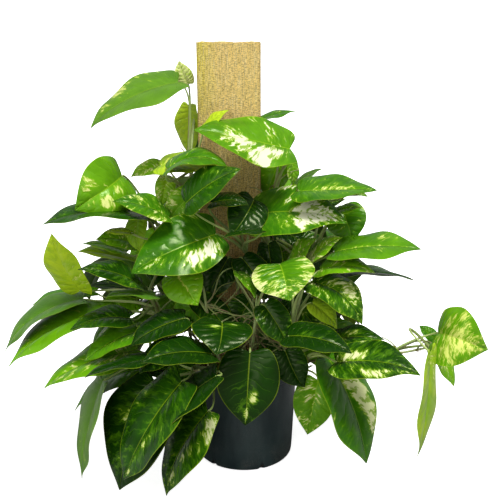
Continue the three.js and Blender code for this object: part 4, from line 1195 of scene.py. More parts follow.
    @staticmethod
    def drawn_ways(draws: np.random.Generator, count: int, reach: Pair) -> tuple[Array, Array, Array]:
        """Draws a level heading and a reach for each thing that grows out of a stem.

        Args:
            draws: The draws.
            count: How many things.
            reach: The least and the greatest reach.

        Returns:
            Their headings as angles and as directions, and their reaches as a column.
        """
        turn = draws.uniform(0, 2 * np.pi, count)
        far = draws.uniform(*reach, count)[:, None]
        return turn, np.stack([np.cos(turn), np.sin(turn), np.zeros(count)], axis=-1), far

    def add_old_growth(self, skin: Skin, joints: Array, seed: float) -> None:
        """Adds what grows at a stem's nodes: roots, and stalks that have lost their blades.

        A root leaves the stem, wanders as a sine, falls on a parabola and thins out. A bare
        stalk rises on an arc and ends dry.

        Args:
            skin: What they are added to.
            joints: The nodes.
            seed: The vine's number between 0 and 1.
        """
        draws = np.random.default_rng(int(1e6 * seed))
        starts = np.repeat(joints, self.roots_at_node, axis=0)
        turn, out, reach = self.drawn_ways(draws, len(starts), self.root_reach)
        q = np.linspace(0, 1, self.root_rows)
        aside = np.stack([-out[:, 1], out[:, 0], out[:, 2]], axis=-1)
        sway = 0.14 * reach * np.sin(5 * q + 7 * turn[:, None]) * q
        centres = (
            starts[:, None] + out[:, None] * (reach * q * (1 - 0.45 * q))[..., None]
            + aside[:, None] * sway[..., None] - UP * (reach * q**2)[..., None]
        )
        side = np.broadcast_to(UP + RIGHT * 0.3, starts.shape)
        rings = rods(centres, side, (1.1 - 0.75 * q)[:, None], self.root_corners, 0.0)
        share = draws.uniform(0.5, 1.0, len(starts))[:, None, None]
        skin.add_tubes(rings, rod_places(rings), 2, share=share, tone=0.0, seed=seed)
        draws = np.random.default_rng(int(2e6 * seed))
        _, out, reach = self.drawn_ways(draws, len(joints), self.bare_reach)
        rise = reach * (0.95 * q - 0.45 * q**2)
        centres = joints[:, None] + out[:, None] * (0.75 * reach * q)[..., None] + UP * rise[..., None]
        radii = (1.6 - 0.6 * q + 0.5 * (1 - q) ** 6)[:, None]
        rings = rods(centres, np.cross(out, UP), radii, self.root_corners, 0.0)
        skin.add_tubes(rings, rod_places(rings), 1, share=mix(0.15, 0.9, q)[:, None], tone=0.4, seed=seed)

    def add_spear(self, skin: Skin, centres: Array, seed: float) -> None:
        """Adds the rolled young leaf that ends a stem: a rod that swells a little and then tapers."""
        heading = unit(centres[-1] - centres[-3])
        q = np.linspace(0, 1, 10)
        aside = unit(np.cross(heading, RIGHT + 0.2 * UP))
        line = centres[-1] + heading * (self.spear_length * q - 2)[:, None] + aside * (5 * q**2)[:, None]
        radii = (self.stem_radii[1] + 0.2) * np.sqrt(1 - 0.97 * q) * (1 + 0.25 * np.sin(np.pi * q))
        rings = rods(line[None], RIGHT[None], radii[:, None], 8, 0.0)
        skin.add_tubes(rings, rod_places(rings), 1, tone=0.95, share=0.0, seed=seed)

    def tangle(self, stems: list[Array], finishes: "Finishes") -> Object:
        """Makes the old stalks and roots that run between the stems inside the foliage.

        Each goes from a point on one stem to a point on another, and is bowed aside by a sine of
        a share of its length, and by a second, shorter sine.

        Args:
            stems: The stems that they join.
            finishes: The materials.

        Returns:
            The piece.
        """
        draws = np.random.default_rng(77)
        fine = np.stack([curve_at(stem, np.linspace(0.2, 0.97, 60)) for stem in stems])
        first = draws.integers(0, len(stems), self.crossings)
        second = (first + draws.integers(1, len(stems), self.crossings)) % len(stems)
        at = draws.integers(0, 60, self.crossings)
        past = np.clip(at + draws.integers(-24, 25, self.crossings), 0, 59)
        start, end = fine[first, at], fine[second, past]
        q = np.linspace(0, 1, self.crossing_rows)
        span = np.linalg.norm(end - start, axis=1)
        way = draws.normal(size=(self.crossings, 3)) * (1.0, 0.5, 1.0)
        way /= np.linalg.norm(way, axis=1, keepdims=True)
        other = np.roll(way, 1, axis=1)
        wide = 0.16 * span[:, None] * np.sin(np.pi * q)
        short = 0.05 * span[:, None] * np.sin(3 * np.pi * q)
        centres = (
            mix(start[:, None], end[:, None], q[:, None])
            + way[:, None] * wide[..., None] + other[:, None] * short[..., None]
        )
        thick = draws.uniform(*self.crossing_radius, self.crossings)[:, None, None]
        rings = rods(centres, way, thick * (1 - 0.35 * q)[:, None], self.root_corners, 0.0)
        skin = Skin("old_stalks", finishes.leafy)
        dry = draws.uniform(0.3, 1.2, self.crossings)[:, None, None]
        # With tone 0 they get no fresh green and stay dark: painted shade inside the plant.
        skin.add_tubes(rings, rod_places(rings), 1, share=dry, tone=0.0, seed=0.3)
        piece = skin.make()
        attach(piece, "root")
        return piece

    def dress(
        self, plan: VinePlan, stem: Array, leaves: list[Leaf], owner: int, finishes: "Finishes"
    ) -> Object:
        """Makes one vine's piece and lets it stand for its node.

        Args:
            plan: The vine.
            stem: Its stem's points.
            leaves: Its leaves.
            owner: Its number, from which its seeds are drawn.
            finishes: The materials.

        Returns:
            The piece.
        """
        seeds = np.random.default_rng(100 + owner).random(len(leaves))
        skin = Skin(f"{plan.name}_leafy", finishes.leafy)
        self.add_blades(skin, leaves, seeds)
        self.add_stalks(skin, leaves, seeds)
        self.add_stem(skin, stem, leaves, float(seeds[0]))
        return stand_for(skin.make(), plan.name)


class Wiring:
    """Adds nodes to one node tree and joins them."""

    def __init__(self, tree: NodeTree) -> None:
        """Starts on a tree."""
        self.tree = tree

    def node(self, kind: str, inputs: dict[str | int, object] | None = None, **settings: object) -> Node:
        """Adds a node.

        Args:
            kind: The node's type, without its ShaderNode prefix.
            inputs: What goes into its sockets, by name or number: a socket to join or a value.
            **settings: The node's own settings.

        Returns:
            The node.
        """
        node = self.tree.nodes.new(f"ShaderNode{kind}")
        for name, value in settings.items():
            setattr(node, name, value)
        for key, value in (inputs or {}).items():
            if isinstance(value, Socket):
                self.tree.links.new(value, node.inputs[key])
            elif isinstance(value, tuple) and len(value) == 3 and node.inputs[key].type == "RGBA":
                node.inputs[key].default_value = (*value, 1.0)
            else:
                node.inputs[key].default_value = value
        return node

    def math(self, operation: str, *values: Number, clamp: bool = False) -> Socket:
        """The result of a sum on numbers."""
        return self.node("Math", dict(enumerate(values)), operation=operation, use_clamp=clamp).outputs[0]

    def times(self, a: Number, b: Number, clamp: bool = False) -> Socket:
        """The product of two numbers."""
        return self.math("MULTIPLY", a, b, clamp=clamp)

    def plus(self, a: Number, b: Number) -> Socket:
        """The sum of two numbers."""
        return self.math("ADD", a, b)

    def linear(self, value: Number, slope: Number, start: Number) -> Socket:
        """The start plus slope times the value."""
        return self.math("MULTIPLY_ADD", value, slope, start)

    def vector(self, operation: str, *values: object) -> Socket:
        """The result of a sum on vectors."""
        return self.node("VectorMath", dict(enumerate(values)), operation=operation).outputs[0]

    def combine(self, x: Number, y: Number, z: Number) -> Socket:
        """A vector of three numbers."""
        return self.node("CombineXYZ", {0: x, 1: y, 2: z}).outputs[0]

    def split(self, vector: Socket) -> tuple[Socket, Socket, Socket]:
        """The three numbers of a vector."""
        return tuple(self.node("SeparateXYZ", {0: vector}).outputs)

    def step(self, value: Socket, low: Number, high: Number, start: float = 0, end: float = 1) -> Socket:
        """A smooth rise from start, where value is low, to end, where it is high."""
        inputs = {"Value": value, "From Min": low, "From Max": high, "To Min": start, "To Max": end}
        return self.node("MapRange", inputs, interpolation_type="SMOOTHSTEP").outputs[0]

    def blend(self, share: Number, a: Socket | Colour, b: Socket | Colour) -> Socket:
        """A mix of two colours."""
        return self.node("Mix", {0: share, 6: a, 7: b}, data_type="RGBA").outputs[2]

    def noise(self, vector: Socket, scale: Number, detail: float = 2.0, roughness: float = 0.55) -> Socket:
        """Cloudy noise between 0 and 1."""
        inputs = {"Vector": vector, "Scale": scale, "Detail": detail, "Roughness": roughness}
        return self.node("TexNoise", inputs).outputs[0]

    def mark(self, name: str) -> Socket:
        """A number that each point of the mesh carries."""
        return self.node("Attribute", attribute_name=name).outputs["Fac"]

    def group(self, tree: NodeTree, **inputs: object) -> dict[str, Socket]:
        """Places a node group and gives its outputs."""
        return self.node("Group", inputs, node_tree=tree).outputs

    def object_place(self) -> Socket:
        """The place of a point on the object."""
        return self.node("TexCoord").outputs["Object"]

    def form_place(self) -> tuple[Socket, Socket]:
        """The two places of a point on its own surface, from the UV map."""
        return self.split(self.node("UVMap", uv_map="form").outputs[0])[:2]

    def feed(self, node: Node, **inputs: Socket) -> None:
        """Joins sockets to a node's inputs, with underscores for the spaces in their names."""
        for name, socket in inputs.items():
            self.tree.links.new(socket, node.inputs[name.replace("_", " ")])


def new_group(name: str, inputs: str, outputs: str) -> tuple[Wiring, dict[str, Socket], Node]:
    """Makes an empty node group whose sockets are numbers, apart from the one named Vector.

    Args:
        name: Its name.
        inputs: The names of its inputs.
        outputs: The names of its outputs.

    Returns:
        Its wiring, the sockets that its inputs come in by, and the node that its outputs leave by.
    """
    tree = bpy.data.node_groups.new(name, "ShaderNodeTree")
    for way, labels in (("INPUT", inputs), ("OUTPUT", outputs)):
        for label in labels.split():
            kind = "NodeSocketVector" if label == "Vector" else "NodeSocketFloat"
            tree.interface.new_socket(name=label, in_out=way, socket_type=kind)
    entry = tree.nodes.new("NodeGroupInput")
    leave = tree.nodes.new("NodeGroupOutput")
    return Wiring(tree), {socket.name: socket for socket in entry.outputs if socket.name}, leave


def marbling_group() -> NodeTree:
    """Variegation of a leaf in three depths, drawn out along its side veins.

    The level is a sum of noises that are slow, quick and very quick from base to point, and all
    slow from midrib to margin, and it rises with the share. A depth shows where the level is
    over its bar, and quick green strokes cross the two pale ones.
    """
    w, given, leave = new_group("Marbling", "Along Across Seed Share", "Lime Yellow Cream")
    along, across = given["Along"], given["Across"]
    away = w.math("ABSOLUTE", across)
    seat = w.linear(given["Seed"], 57.0, w.times(w.math("SIGN", across), 3.0))
    bent = w.plus(along, w.times(w.noise(w.combine(along, across, seat), 5.0), 0.05))
    level = w.linear(given["Share"], 0.6, -1.54)
    for quick, slow, weight, detail in ((6.0, 1.2, 0.8, 2.0), (27.0, 1.7, 1.1, 3.0), (95.0, 4.0, 0.5, 2.0)):
        cloud = w.noise(w.combine(w.times(bent, quick), w.times(away, slow), seat), 1.0, detail, 0.6)
        level = w.linear(cloud, weight, level)
    strokes = w.noise(w.combine(w.times(bent, 44.0), w.times(away, 2.6), w.plus(seat, 11.0)), 1.0, 2.0)
    bars = (("Lime", -0.3, 0.0, 1.0), ("Yellow", -0.04, 0.06, 0.6), ("Cream", 0.03, 0.14, 0.08))
    for depth, low, high, left in bars:
        shown = w.times(w.step(level, low, high), w.step(strokes, 0.52, 0.62, 1.0, left))
        w.feed(leave, **{depth: shown})
    return w.tree


def venation_group() -> NodeTree:
    """Midrib, side veins and the quilted relief between them.

    A side vein is a line of one value along, so the relief is the sine of that value, and it
    fades where the veins run together at the midrib and at the margin.
    """
    w, given, leave = new_group("Venation", "Along Across Count Seed", "Midrib Veins Relief")
    along, across = given["Along"], given["Across"]
    away = w.math("ABSOLUTE", across)
    drift = w.noise(w.combine(along, across, w.times(given["Seed"], 31.0)), 3.0, 1.0)
    beat = w.times(w.plus(along, w.times(drift, 0.06)), given["Count"])
    wave = w.math("ABSOLUTE", w.math("SINE", w.times(beat, math.pi)))
    fade = w.times(w.step(away, 0.0, 0.35), w.step(away, 0.7, 1.0, 1.0, 0.1))
    thin = w.times(w.step(wave, 0.0, 0.16, 1.0, 0.0), w.step(away, 0.5, 1.0, 1.0, 0.0))
    relief = w.times(w.math("POWER", wave, 0.7), fade)
    w.feed(leave, Midrib=w.step(away, 0.006, 0.03, 1.0, 0.0), Veins=thin, Relief=relief)
    return w.tree


def fibre_group() -> NodeTree:
    """Grain that runs along one axis: noise pressed together across it, at two sizes."""
    w, given, leave = new_group("Fibre", "Vector Coarse Fine", "Broad Thin")
    broad = w.noise(w.vector("MULTIPLY", given["Vector"], (1.0, 1.0, 0.12)), given["Coarse"], 3.0)
    thin = w.noise(w.vector("MULTIPLY", given["Vector"], (1.0, 1.0, 0.03)), given["Fine"], 2.0)
    w.feed(leave, Broad=broad, Thin=thin)
    return w.tree


def dust_group() -> NodeTree:
    """Pale dust in soft clouds that hold small grains."""
    w, given, leave = new_group("Dust", "Vector Amount", "Mask")
    clouds = w.noise(given["Vector"], 14.0, 4.0, 0.6)
    grains = w.noise(given["Vector"], 420.0, 1.0)
    cover = w.times(w.step(clouds, 0.42, 0.7), w.step(grains, 0.35, 0.7))
    w.feed(leave, Mask=w.times(cover, given["Amount"], clamp=True))
    return w.tree


@dataclass(frozen=True)
class Effects:
    """The node groups that materials share."""

    marbling: NodeTree
    venation: NodeTree
    fibre: NodeTree
    dust: NodeTree


class Surface(Wiring):
    """The wiring of a new material and its Principled shader."""

    def __init__(self, name: str, **sockets: object) -> None:
        """Makes the material.

        Args:
            name: Its name.
            **sockets: Fixed values of the shader's sockets, with underscores for spaces.
        """
        self.material = bpy.data.materials.new(name)
        self.material.use_nodes = True
        super().__init__(self.material.node_tree)
        self.shader = self.tree.nodes["Principled BSDF"]
        for socket, value in sockets.items():
            self.shader.inputs[socket.replace("_", " ")].default_value = value

    def finished(self, colour: Socket, roughness: Socket, height: Socket, depth: float) -> Material:
        """Joins the last sockets to the shader.

        Args:
            colour: The colour.
            roughness: The roughness.
            height: The relief.
            depth: How deep the relief is, in metres.

        Returns:
            The material.
        """
        bump = self.node("Bump", {"Height": height, "Distance": depth}).outputs[0]
        self.feed(self.shader, Base_Color=colour, Roughness=roughness, Normal=bump)
        return self.material


@dataclass(frozen=True)
class BladeFinish:
    """Waxy leaf: green by age and by painted light and shade, streaked lime, yellow and cream along the
    veins, with a painted light rim, paler below.
    """

    # old, the darkest green, also paints the deepest shade on hanging and inner leaves.
    old: Colour = (0.006, 0.034, 0.0012)
    ripe: Colour = (0.033, 0.145, 0.003)
    fresh: Colour = (0.14, 0.37, 0.005)
    young: Colour = (0.48, 0.65, 0.02)
    yellow: Colour = (0.62, 0.7, 0.08)
    cream: Colour = (0.82, 0.83, 0.6)
    grey: Colour = (0.1, 0.18, 0.03)
    soft: Colour = (0.36, 0.5, 0.03)
    vein_count: float = 12.0
    vein_depth: float = 0.0011

    def build(self, effects: Effects) -> Material:
        """Builds the material, which reads the leaf's UV map and marks."""
        w = Surface("leaf blade", Specular_IOR_Level=0.23, Specular_Tint=(0.9, 1.0, 0.6, 1.0))
        along, across = w.form_place()
        across = w.linear(across, 2.0, -1.0)
        seed, tone, dull, under, share = map(w.mark, ("seed", "tone", "dull", "under", "share"))
        marble = w.group(effects.marbling, Along=along, Across=across, Seed=seed, Share=share)
        veins = w.group(effects.venation, Along=along, Across=across, Count=self.vein_count, Seed=seed)
        form = w.object_place()
        cloud = w.noise(form, 18.0, 3.0)
        # The tone mark holds each leaf's age together with painted light and shade.
        age_light_and_shade = w.plus(tone, w.linear(cloud, 0.5, -0.25))
        green = w.blend(w.step(age_light_and_shade, 0.0, 0.46), self.old, self.ripe)
        green = w.blend(w.step(age_light_and_shade, 0.4, 0.9), green, self.fresh)
        green = w.blend(w.step(age_light_and_shade, 0.85, 1.2), green, self.young)
        lighter = w.blend(0.45, green, self.fresh)
        green = w.blend(w.times(veins["Veins"], 0.3), green, lighter)
        green = w.blend(w.times(marble["Lime"], 0.75), green, lighter)
        # A thin pale line at the margin paints the light that shines through the leaf's edge.
        edge = w.step(w.math("ABSOLUTE", across), 0.965, 1.0)
        green = w.blend(w.times(edge, 0.35), green, self.young)
        pale = w.blend(w.mark("milk"), self.yellow, self.cream)
        lime = w.blend(0.5, self.fresh, self.yellow)
        colour = w.blend(w.times(marble["Yellow"], 0.85), green, lime)
        colour = w.blend(marble["Cream"], colour, pale)
        colour = w.blend(w.times(veins["Midrib"], 0.5), colour, w.blend(0.5, colour, self.young))
        matt = w.math("MAXIMUM", w.times(under, 0.85), w.times(dull, 0.62))
        below = w.blend(w.step(tone, 0.5, 1.0), self.grey, self.soft)
        colour = w.blend(matt, colour, w.blend(w.times(marble["Yellow"], 0.6), below, colour))
        waxy = w.noise(form, 140.0, 2.0)
        gloss = w.plus(w.linear(waxy, 0.12, 0.17), w.times(matt, 0.3))
        relief = w.times(veins["Relief"], w.linear(under, -1.6, 1.0))
        relief = w.plus(relief, w.times(waxy, 0.22))
        return w.finished(colour, gloss, relief, self.vein_depth)


@dataclass(frozen=True)
class StalkFinish:
    """Leaf stalk: pale green, darker towards the stem as painted shade, with dry tan edges on its wings."""

    green: Colour = (0.28, 0.4, 0.09)
    fresh: Colour = (0.46, 0.58, 0.18)
    shade: Colour = (0.12, 0.22, 0.04)
    dry: Colour = (0.26, 0.19, 0.09)

    def build(self, effects: Effects) -> Material:
        """Builds the material."""
        w = Surface("leaf stalk", Coat_Weight=0.08)
        around, along = w.form_place()
        lines = w.noise(w.combine(w.times(around, 18.0), w.times(along, 3.0), w.mark("seed")), 1.0, 2.0)
        cloud = w.noise(w.object_place(), 45.0, 3.0)
        # Painted shade: darker where the stalk leaves the stem, inside the foliage.
        colour = w.blend(w.step(along, 0.0, 0.7), self.shade, self.green)
        colour = w.blend(w.times(w.mark("tone"), 0.6), colour, self.fresh)
        colour = w.blend(w.step(lines, 0.45, 0.75), colour, self.fresh)
        withered = w.times(w.mark("share"), w.step(cloud, 0.3, 0.6), clamp=True)
        colour = w.blend(withered, colour, self.dry)
        return w.finished(colour, w.linear(withered, 0.4, 0.34), lines, 0.0006)


@dataclass(frozen=True)
class StemFinish:
    """Climbing stem: green and striped at its tip, brown bark and corky scars lower down."""

    green: Colour = (0.42, 0.52, 0.2)
    bark: Colour = (0.13, 0.085, 0.04)
    scar: Colour = (0.2, 0.12, 0.055)

    def build(self, effects: Effects) -> Material:
        """Builds the material."""
        w = Surface("climbing stem")
        grain = w.group(effects.fibre, Vector=w.object_place(), Coarse=260.0, Fine=900.0)
        colour = w.blend(w.step(w.mark("tone"), 0.1, 0.75), self.bark, self.green)
        colour = w.blend(w.step(grain["Broad"], 0.45, 0.7, 0.0, 0.6), colour, self.scar)
        colour = w.blend(w.times(w.mark("share"), 0.7), colour, self.scar)
        return w.finished(colour, w.linear(grain["Thin"], 0.3, 0.45), grain["Broad"], 0.0009)


@dataclass(frozen=True)
class PotFinish:
    """Moulded nursery plastic: dark blue-green, satin, with a little dust and fine scuffs."""

    body: Colour = (0.012, 0.026, 0.028)
    worn: Colour = (0.028, 0.05, 0.05)
    dust: Colour = (0.14, 0.14, 0.12)

    def build(self, effects: Effects) -> Material:
        """Builds the material."""
        w = Surface("moulded pot", Specular_IOR_Level=0.4)
        form = w.object_place()
        x, y, z = w.split(form)
        flow = w.noise(w.vector("MULTIPLY", form, (1.0, 1.0, 0.25)), 26.0, 3.0)
        scuffs = w.noise(w.combine(w.times(w.math("ARCTAN2", y, x), 60.0), 0.0, w.times(z, 24.0)), 1.0, 3.0)
        colour = w.blend(w.step(flow, 0.35, 0.75), self.body, self.worn)
        colour = w.blend(w.step(scuffs, 0.68, 0.74, 0.0, 0.35), colour, self.worn)
        powder = w.group(effects.dust, Vector=form, Amount=w.step(z, 0.0, 0.09, 0.6, 0.16))["Mask"]
        colour = w.blend(powder, colour, self.dust)
        relief = w.plus(w.times(w.noise(form, 900.0, 2.0), 0.35), scuffs)
        rough = w.plus(w.linear(flow, 0.14, 0.3), w.times(powder, 0.3))
        return w.finished(colour, rough, relief, 0.00018)


@dataclass(frozen=True)
class BoardFinish:
    """Rough-sawn wood: upright fibres crossed by saw marks, golden above and darker brown below, the darker
    brown and the dark upright edges being painted shade.
    """

    golden: Colour = (0.92, 0.67, 0.22)
    yellow: Colour = (0.8, 0.68, 0.07)
    lower_shade_brown: Colour = (0.5, 0.32, 0.1)
    pit_and_edge_shade: Colour = (0.15, 0.085, 0.025)
    pale: Colour = (1.0, 0.88, 0.52)

    def build(self, effects: Effects) -> Material:
        """Builds the material."""
        w = Surface("rough sawn board", Specular_IOR_Level=0.2)
        form = w.object_place()
        x, _, z = w.split(form)
        grain = w.group(effects.fibre, Vector=form, Coarse=400.0, Fine=760.0)
        cuts = w.noise(w.vector("MULTIPLY", form, (0.25, 0.3, 1.0)), 560.0, 2.0)
        weave = w.noise(w.vector("MULTIPLY", form, (1.0, 0.5, 0.8)), 460.0, 2.0)
        cloud = w.noise(form, 11.0, 4.0)
        height = w.plus(z, w.linear(cloud, 0.4, -0.2))
        # Painted shade: darker brown towards the bottom of the board.
        colour = w.blend(w.step(height, 0.4, 0.8), self.lower_shade_brown, self.golden)
        left = w.step(w.plus(x, w.times(cloud, 0.06)), -0.08, -0.01, 1.0, 0.0)
        colour = w.blend(w.times(w.times(left, w.step(height, 0.7, 0.95)), 0.8), colour, self.yellow)
        colour = w.blend(w.step(grain["Thin"], 0.45, 0.75, 0.0, 0.7), colour, self.pale)
        colour = w.blend(w.step(grain["Broad"], 0.34, 0.5, 0.4, 0.0), colour, self.pit_and_edge_shade)
        colour = w.blend(w.step(cuts, 0.38, 0.52, 0.5, 0.0), colour, self.pit_and_edge_shade)
        pits = w.times(w.step(weave, 0.5, 0.64), w.step(height, 0.45, 0.95, 1.0, 0.5))
        colour = w.blend(w.times(pits, 0.75), colour, self.pit_and_edge_shade)
        # Painted shade: the upright edges and side faces are darkened.
        colour = w.blend(w.times(w.mark("share"), 0.75), colour, self.pit_and_edge_shade)
        relief = w.plus(grain["Thin"], w.times(cuts, 0.8))
        relief = w.math("SUBTRACT", relief, w.times(pits, 0.9))
        return w.finished(colour, w.linear(weave, 0.15, 0.78), relief, 0.001)


@dataclass(frozen=True)
class SoilFinish:
    """Bark and peat potting mix, dark and damp, with paler chips."""

    peat: Colour = (0.022, 0.013, 0.008)
    bark: Colour = (0.09, 0.048, 0.024)
    chip: Colour = (0.2, 0.12, 0.065)

    def build(self, effects: Effects) -> Material:
        """Builds the material."""
        w = Surface("potting mix")
        form = w.object_place()
        slanted = w.node("Mapping", {0: form, "Rotation": (0.9, 0.4, 0.3)}).outputs[0]
        grain = w.group(effects.fibre, Vector=slanted, Coarse=240.0, Fine=800.0)
        crumbs = w.noise(form, 130.0, 3.0, 0.65)
        colour = w.blend(w.step(crumbs, 0.4, 0.62), self.peat, self.bark)
        colour = w.blend(w.step(grain["Broad"], 0.55, 0.72, 0.0, 0.8), colour, self.chip)
        powder = w.group(effects.dust, Vector=form, Amount=0.35)
        colour = w.blend(powder["Mask"], colour, self.chip)
        return w.finished(colour, w.linear(crumbs, 0.2, 0.72), crumbs, 0.003)


@dataclass(frozen=True)
class Finishes:
    """All materials of the object."""

    blade: Material
    stalk: Material
    stem: Material
    pot: Material
    board: Material
    soil: Material

    @property
    def leafy(self) -> tuple[Material, ...]:
        """The three finishes of a leafy stem, in the order of their slots."""
        return self.blade, self.stalk, self.stem

    @classmethod
    def build(cls) -> "Finishes":
        """Builds the shared groups and then each material."""
        effects = Effects(marbling_group(), venation_group(), fibre_group(), dust_group())
        makers = (BladeFinish(), StalkFinish(), StemFinish(), PotFinish(), BoardFinish(), SoilFinish())
        return cls(*(maker.build(effects) for maker in makers))


def cloud_heights(x: Array, y: Array, waves: int, shortest: float, longest: float, seed: int) -> Array:
    """A bumpy sheet: the mean of plane sine waves of drawn lengths, headings and phases.

    Args:
        x: Places along the first side.
        y: Places along the second side, with the same shape.
        waves: How many waves.
        shortest: The least wave length.
        longest: The greatest wave length.
        seed: Seed of the draws.

    Returns:
        Heights of about -1 to 1 with the shape of x.
    """
    draws = np.random.default_rng(seed)
    heading = draws.uniform(0, np.pi, waves)
    pace = 2 * np.pi / np.exp(draws.uniform(np.log(shortest), np.log(longest), waves))
    phase = draws.uniform(0, 2 * np.pi, waves)
    reach = x[..., None] * np.cos(heading) + y[..., None] * np.sin(heading)
    return np.sin(reach * pace + phase).sum(-1) / math.sqrt(waves)


@dataclass
class Pot:
    """The ten inch nursery pot: tapered wall, rim band with a rounded lip, drain holes at the foot."""

    height: float = 230.0
    top_radius: float = 127.0
    foot_radius: float = 116.0
    foot_round: float = 9.0
    foot_steps: int = 14
    wall: float = 2.0
    rim_depth: float = 14.0
    rim_stand_out: float = 2.2
    rim_slope: float = 2.0
    lip_round: float = 1.5
    drain_count: int = 6
    drain_radius: float = 8.0
    drain_reach: float = 112.0
    drain_height: float = 5.0
    drain_first: float = 0.35
    sides: int = 160

    def profile(self) -> Array:
        """The wall's closed section as (radius, height) rows, from under the foot to inside it."""
        corner = self.foot_radius - self.foot_round
        turn = np.linspace(0, np.pi / 2, self.foot_steps)
        foot = np.stack([corner + self.foot_round * np.sin(turn), self.foot_round * (1 - np.cos(turn))], -1)
        rim = self.height - self.rim_depth
        below = self.top_radius - self.rim_stand_out
        wall_z = np.linspace(self.foot_round, rim - self.rim_slope - 3, 14)[1:]
        wall = np.stack([mix(self.foot_radius, below, wall_z / (rim - self.rim_slope)), wall_z], -1)
        slope = np.linspace(0, 1, 5)[:, None]
        band = np.array([[below, rim - self.rim_slope]]) + slope * [self.rim_stand_out, self.rim_slope]
        half = np.linspace(0, np.pi, 9)
        middle = self.top_radius - (self.rim_stand_out + self.wall) / 2
        lip = np.stack([
            middle + (self.top_radius - middle) * np.cos(half),
            self.height - self.lip_round + self.lip_round * np.sin(half),
        ], -1)
        inside = np.array([[self.foot_radius - self.wall, self.foot_round], [corner, self.wall]])
        return np.vstack([foot, wall, band, lip, inside])

    def revolved(self) -> Array:
        """The profile turned round Z, as one tube of rings."""
        radius, z = self.profile().T
        return turned(radius, z, 2 * np.pi * np.arange(self.sides) / self.sides)[None]

    def drills(self) -> Array:
        """Rods that point outwards and down through the foot, one for each drain hole."""
        turn = 2 * np.pi * (np.arange(self.drain_count) + self.drain_first) / self.drain_count
        out = np.stack([np.sin(turn), -np.cos(turn), np.zeros_like(turn)], -1)
        middle = out * self.drain_reach + UP * self.drain_height
        along = (out - UP) / math.sqrt(2)
        reach = 2.3 * self.foot_round * np.array([-1.0, 0.0, 1.0])
        centres = middle[:, None] + along[:, None] * reach[:, None]
        return rods(centres, np.cross(out, UP), np.array([[self.drain_radius]]), 24, 0.0)

    def dress(self, finishes: Finishes) -> Object:
        """Makes the pot, cuts its drain holes and lets it stand for its node."""
        shell = plain_piece("pot_shell", finishes.pot, (self.revolved(),), 30)
        cutter = plain_piece("drain_drills", finishes.pot, (self.drills(),), 30)
        cut = shell.modifiers.new("drain holes", "BOOLEAN")
        cut.operation, cut.object, cut.solver = "DIFFERENCE", cutter, "EXACT"
        bpy.context.view_layer.update()
        whole = bpy.data.meshes.new_from_object(shell.evaluated_get(bpy.context.evaluated_depsgraph_get()))
        shell.modifiers.clear()
        shell.data = whole
        bpy.data.objects.remove(cutter)
        return stand_for(shell, "pot")


@dataclass
class Soil:
    """The potting mix: a crowned, crumbly surface with bark chips lying on it."""

    pot: Pot
    top: float = 205.0
    crown: float = 8.0
    gap: float = 0.35
    bump: float = 2.2
    sides: int = 150
    chips: int = 300

    def inner(self, z: Array) -> Array:
        """The mix's radius at a height: the pot's inner wall less the gap."""
        pot = self.pot
        rise = (z - pot.foot_round) / (pot.height - pot.lip_round - pot.foot_round)
        high = pot.top_radius - pot.rim_stand_out - pot.wall
        return mix(pot.foot_radius - pot.wall, high, rise) - self.gap

    def surface(self, x: Array, y: Array) -> Array:
        """The height at a place: a crown that falls with the square of the radius, and bumps."""
        share = np.clip(np.hypot(x, y) / float(self.inner(np.array(self.top))), 0, 1)
        bumps = cloud_heights(x, y, 40, 7, 42, 5) * self.bump * (1 - share**8)
        return self.top + self.crown * (1 - share**2) + np.minimum(bumps, 0.9 * self.bump)

    def body(self) -> Array:
        """The mix as one tube of rings: up its wall and in over its surface to the middle."""
        turn = 2 * np.pi * np.arange(self.sides) / self.sides
        edge = float(self.inner(np.array(self.top)))
        low_z = np.array([self.pot.wall + self.gap, self.pot.foot_round + 1, self.top * 0.6])
        low_r = np.array([self.pot.foot_radius - self.pot.foot_round - 1, *self.inner(low_z[1:])])
        top_r = np.linspace(edge, 3, 52)
        high = self.surface(np.outer(top_r, np.cos(turn)), np.outer(top_r, np.sin(turn)))
        return np.concatenate([turned(low_r, low_z, turn), turned(top_r, high, turn)])[None]

    def chip_rings(self) -> Array:
        """Bark chips: short flat rods, thickest in the middle, that lie as they fell."""
        draws = np.random.default_rng(8)
        radius = np.sqrt(draws.uniform(0, 1, self.chips)) * (self.inner(np.array(self.top)) - 12)
        turn = draws.uniform(0, 2 * np.pi, self.chips)
        x, y = radius * np.cos(turn), radius * np.sin(turn)
        middle = np.stack([x, y, self.surface(x, y) + draws.uniform(0.2, 1.8, self.chips)], -1)
        heading = draws.uniform(0, 2 * np.pi, self.chips)
        tilt = draws.uniform(-0.3, 0.3, self.chips)
        along = np.stack([np.cos(heading), np.sin(heading), tilt], -1)
        reach = draws.uniform(4, 10, self.chips)[:, None] * np.linspace(-1, 1, 4)
        centres = middle[:, None] + along[:, None] * reach[..., None]
        thick = draws.uniform(1.6, 3.6, self.chips)[:, None, None]
        swell = np.array([0.55, 1.0, 0.9, 0.4])[:, None]
        flat = np.array([1.0, 0.75, 0.5, 1.0, 0.7, 0.45])
        side = np.stack([-np.sin(heading), np.cos(heading), np.zeros_like(heading)], -1)
        return rods(centres, side, thick * swell * flat, 6, 0.0)

    def dress(self, finishes: Finishes) -> Object:
        """Makes the mix and its chips as one piece and lets it stand for its node."""
        mix_and_chips = plain_piece("soil_mix", finishes.soil, (self.body(), self.chip_rings()), 70)
        return stand_for(mix_and_chips, "soil")


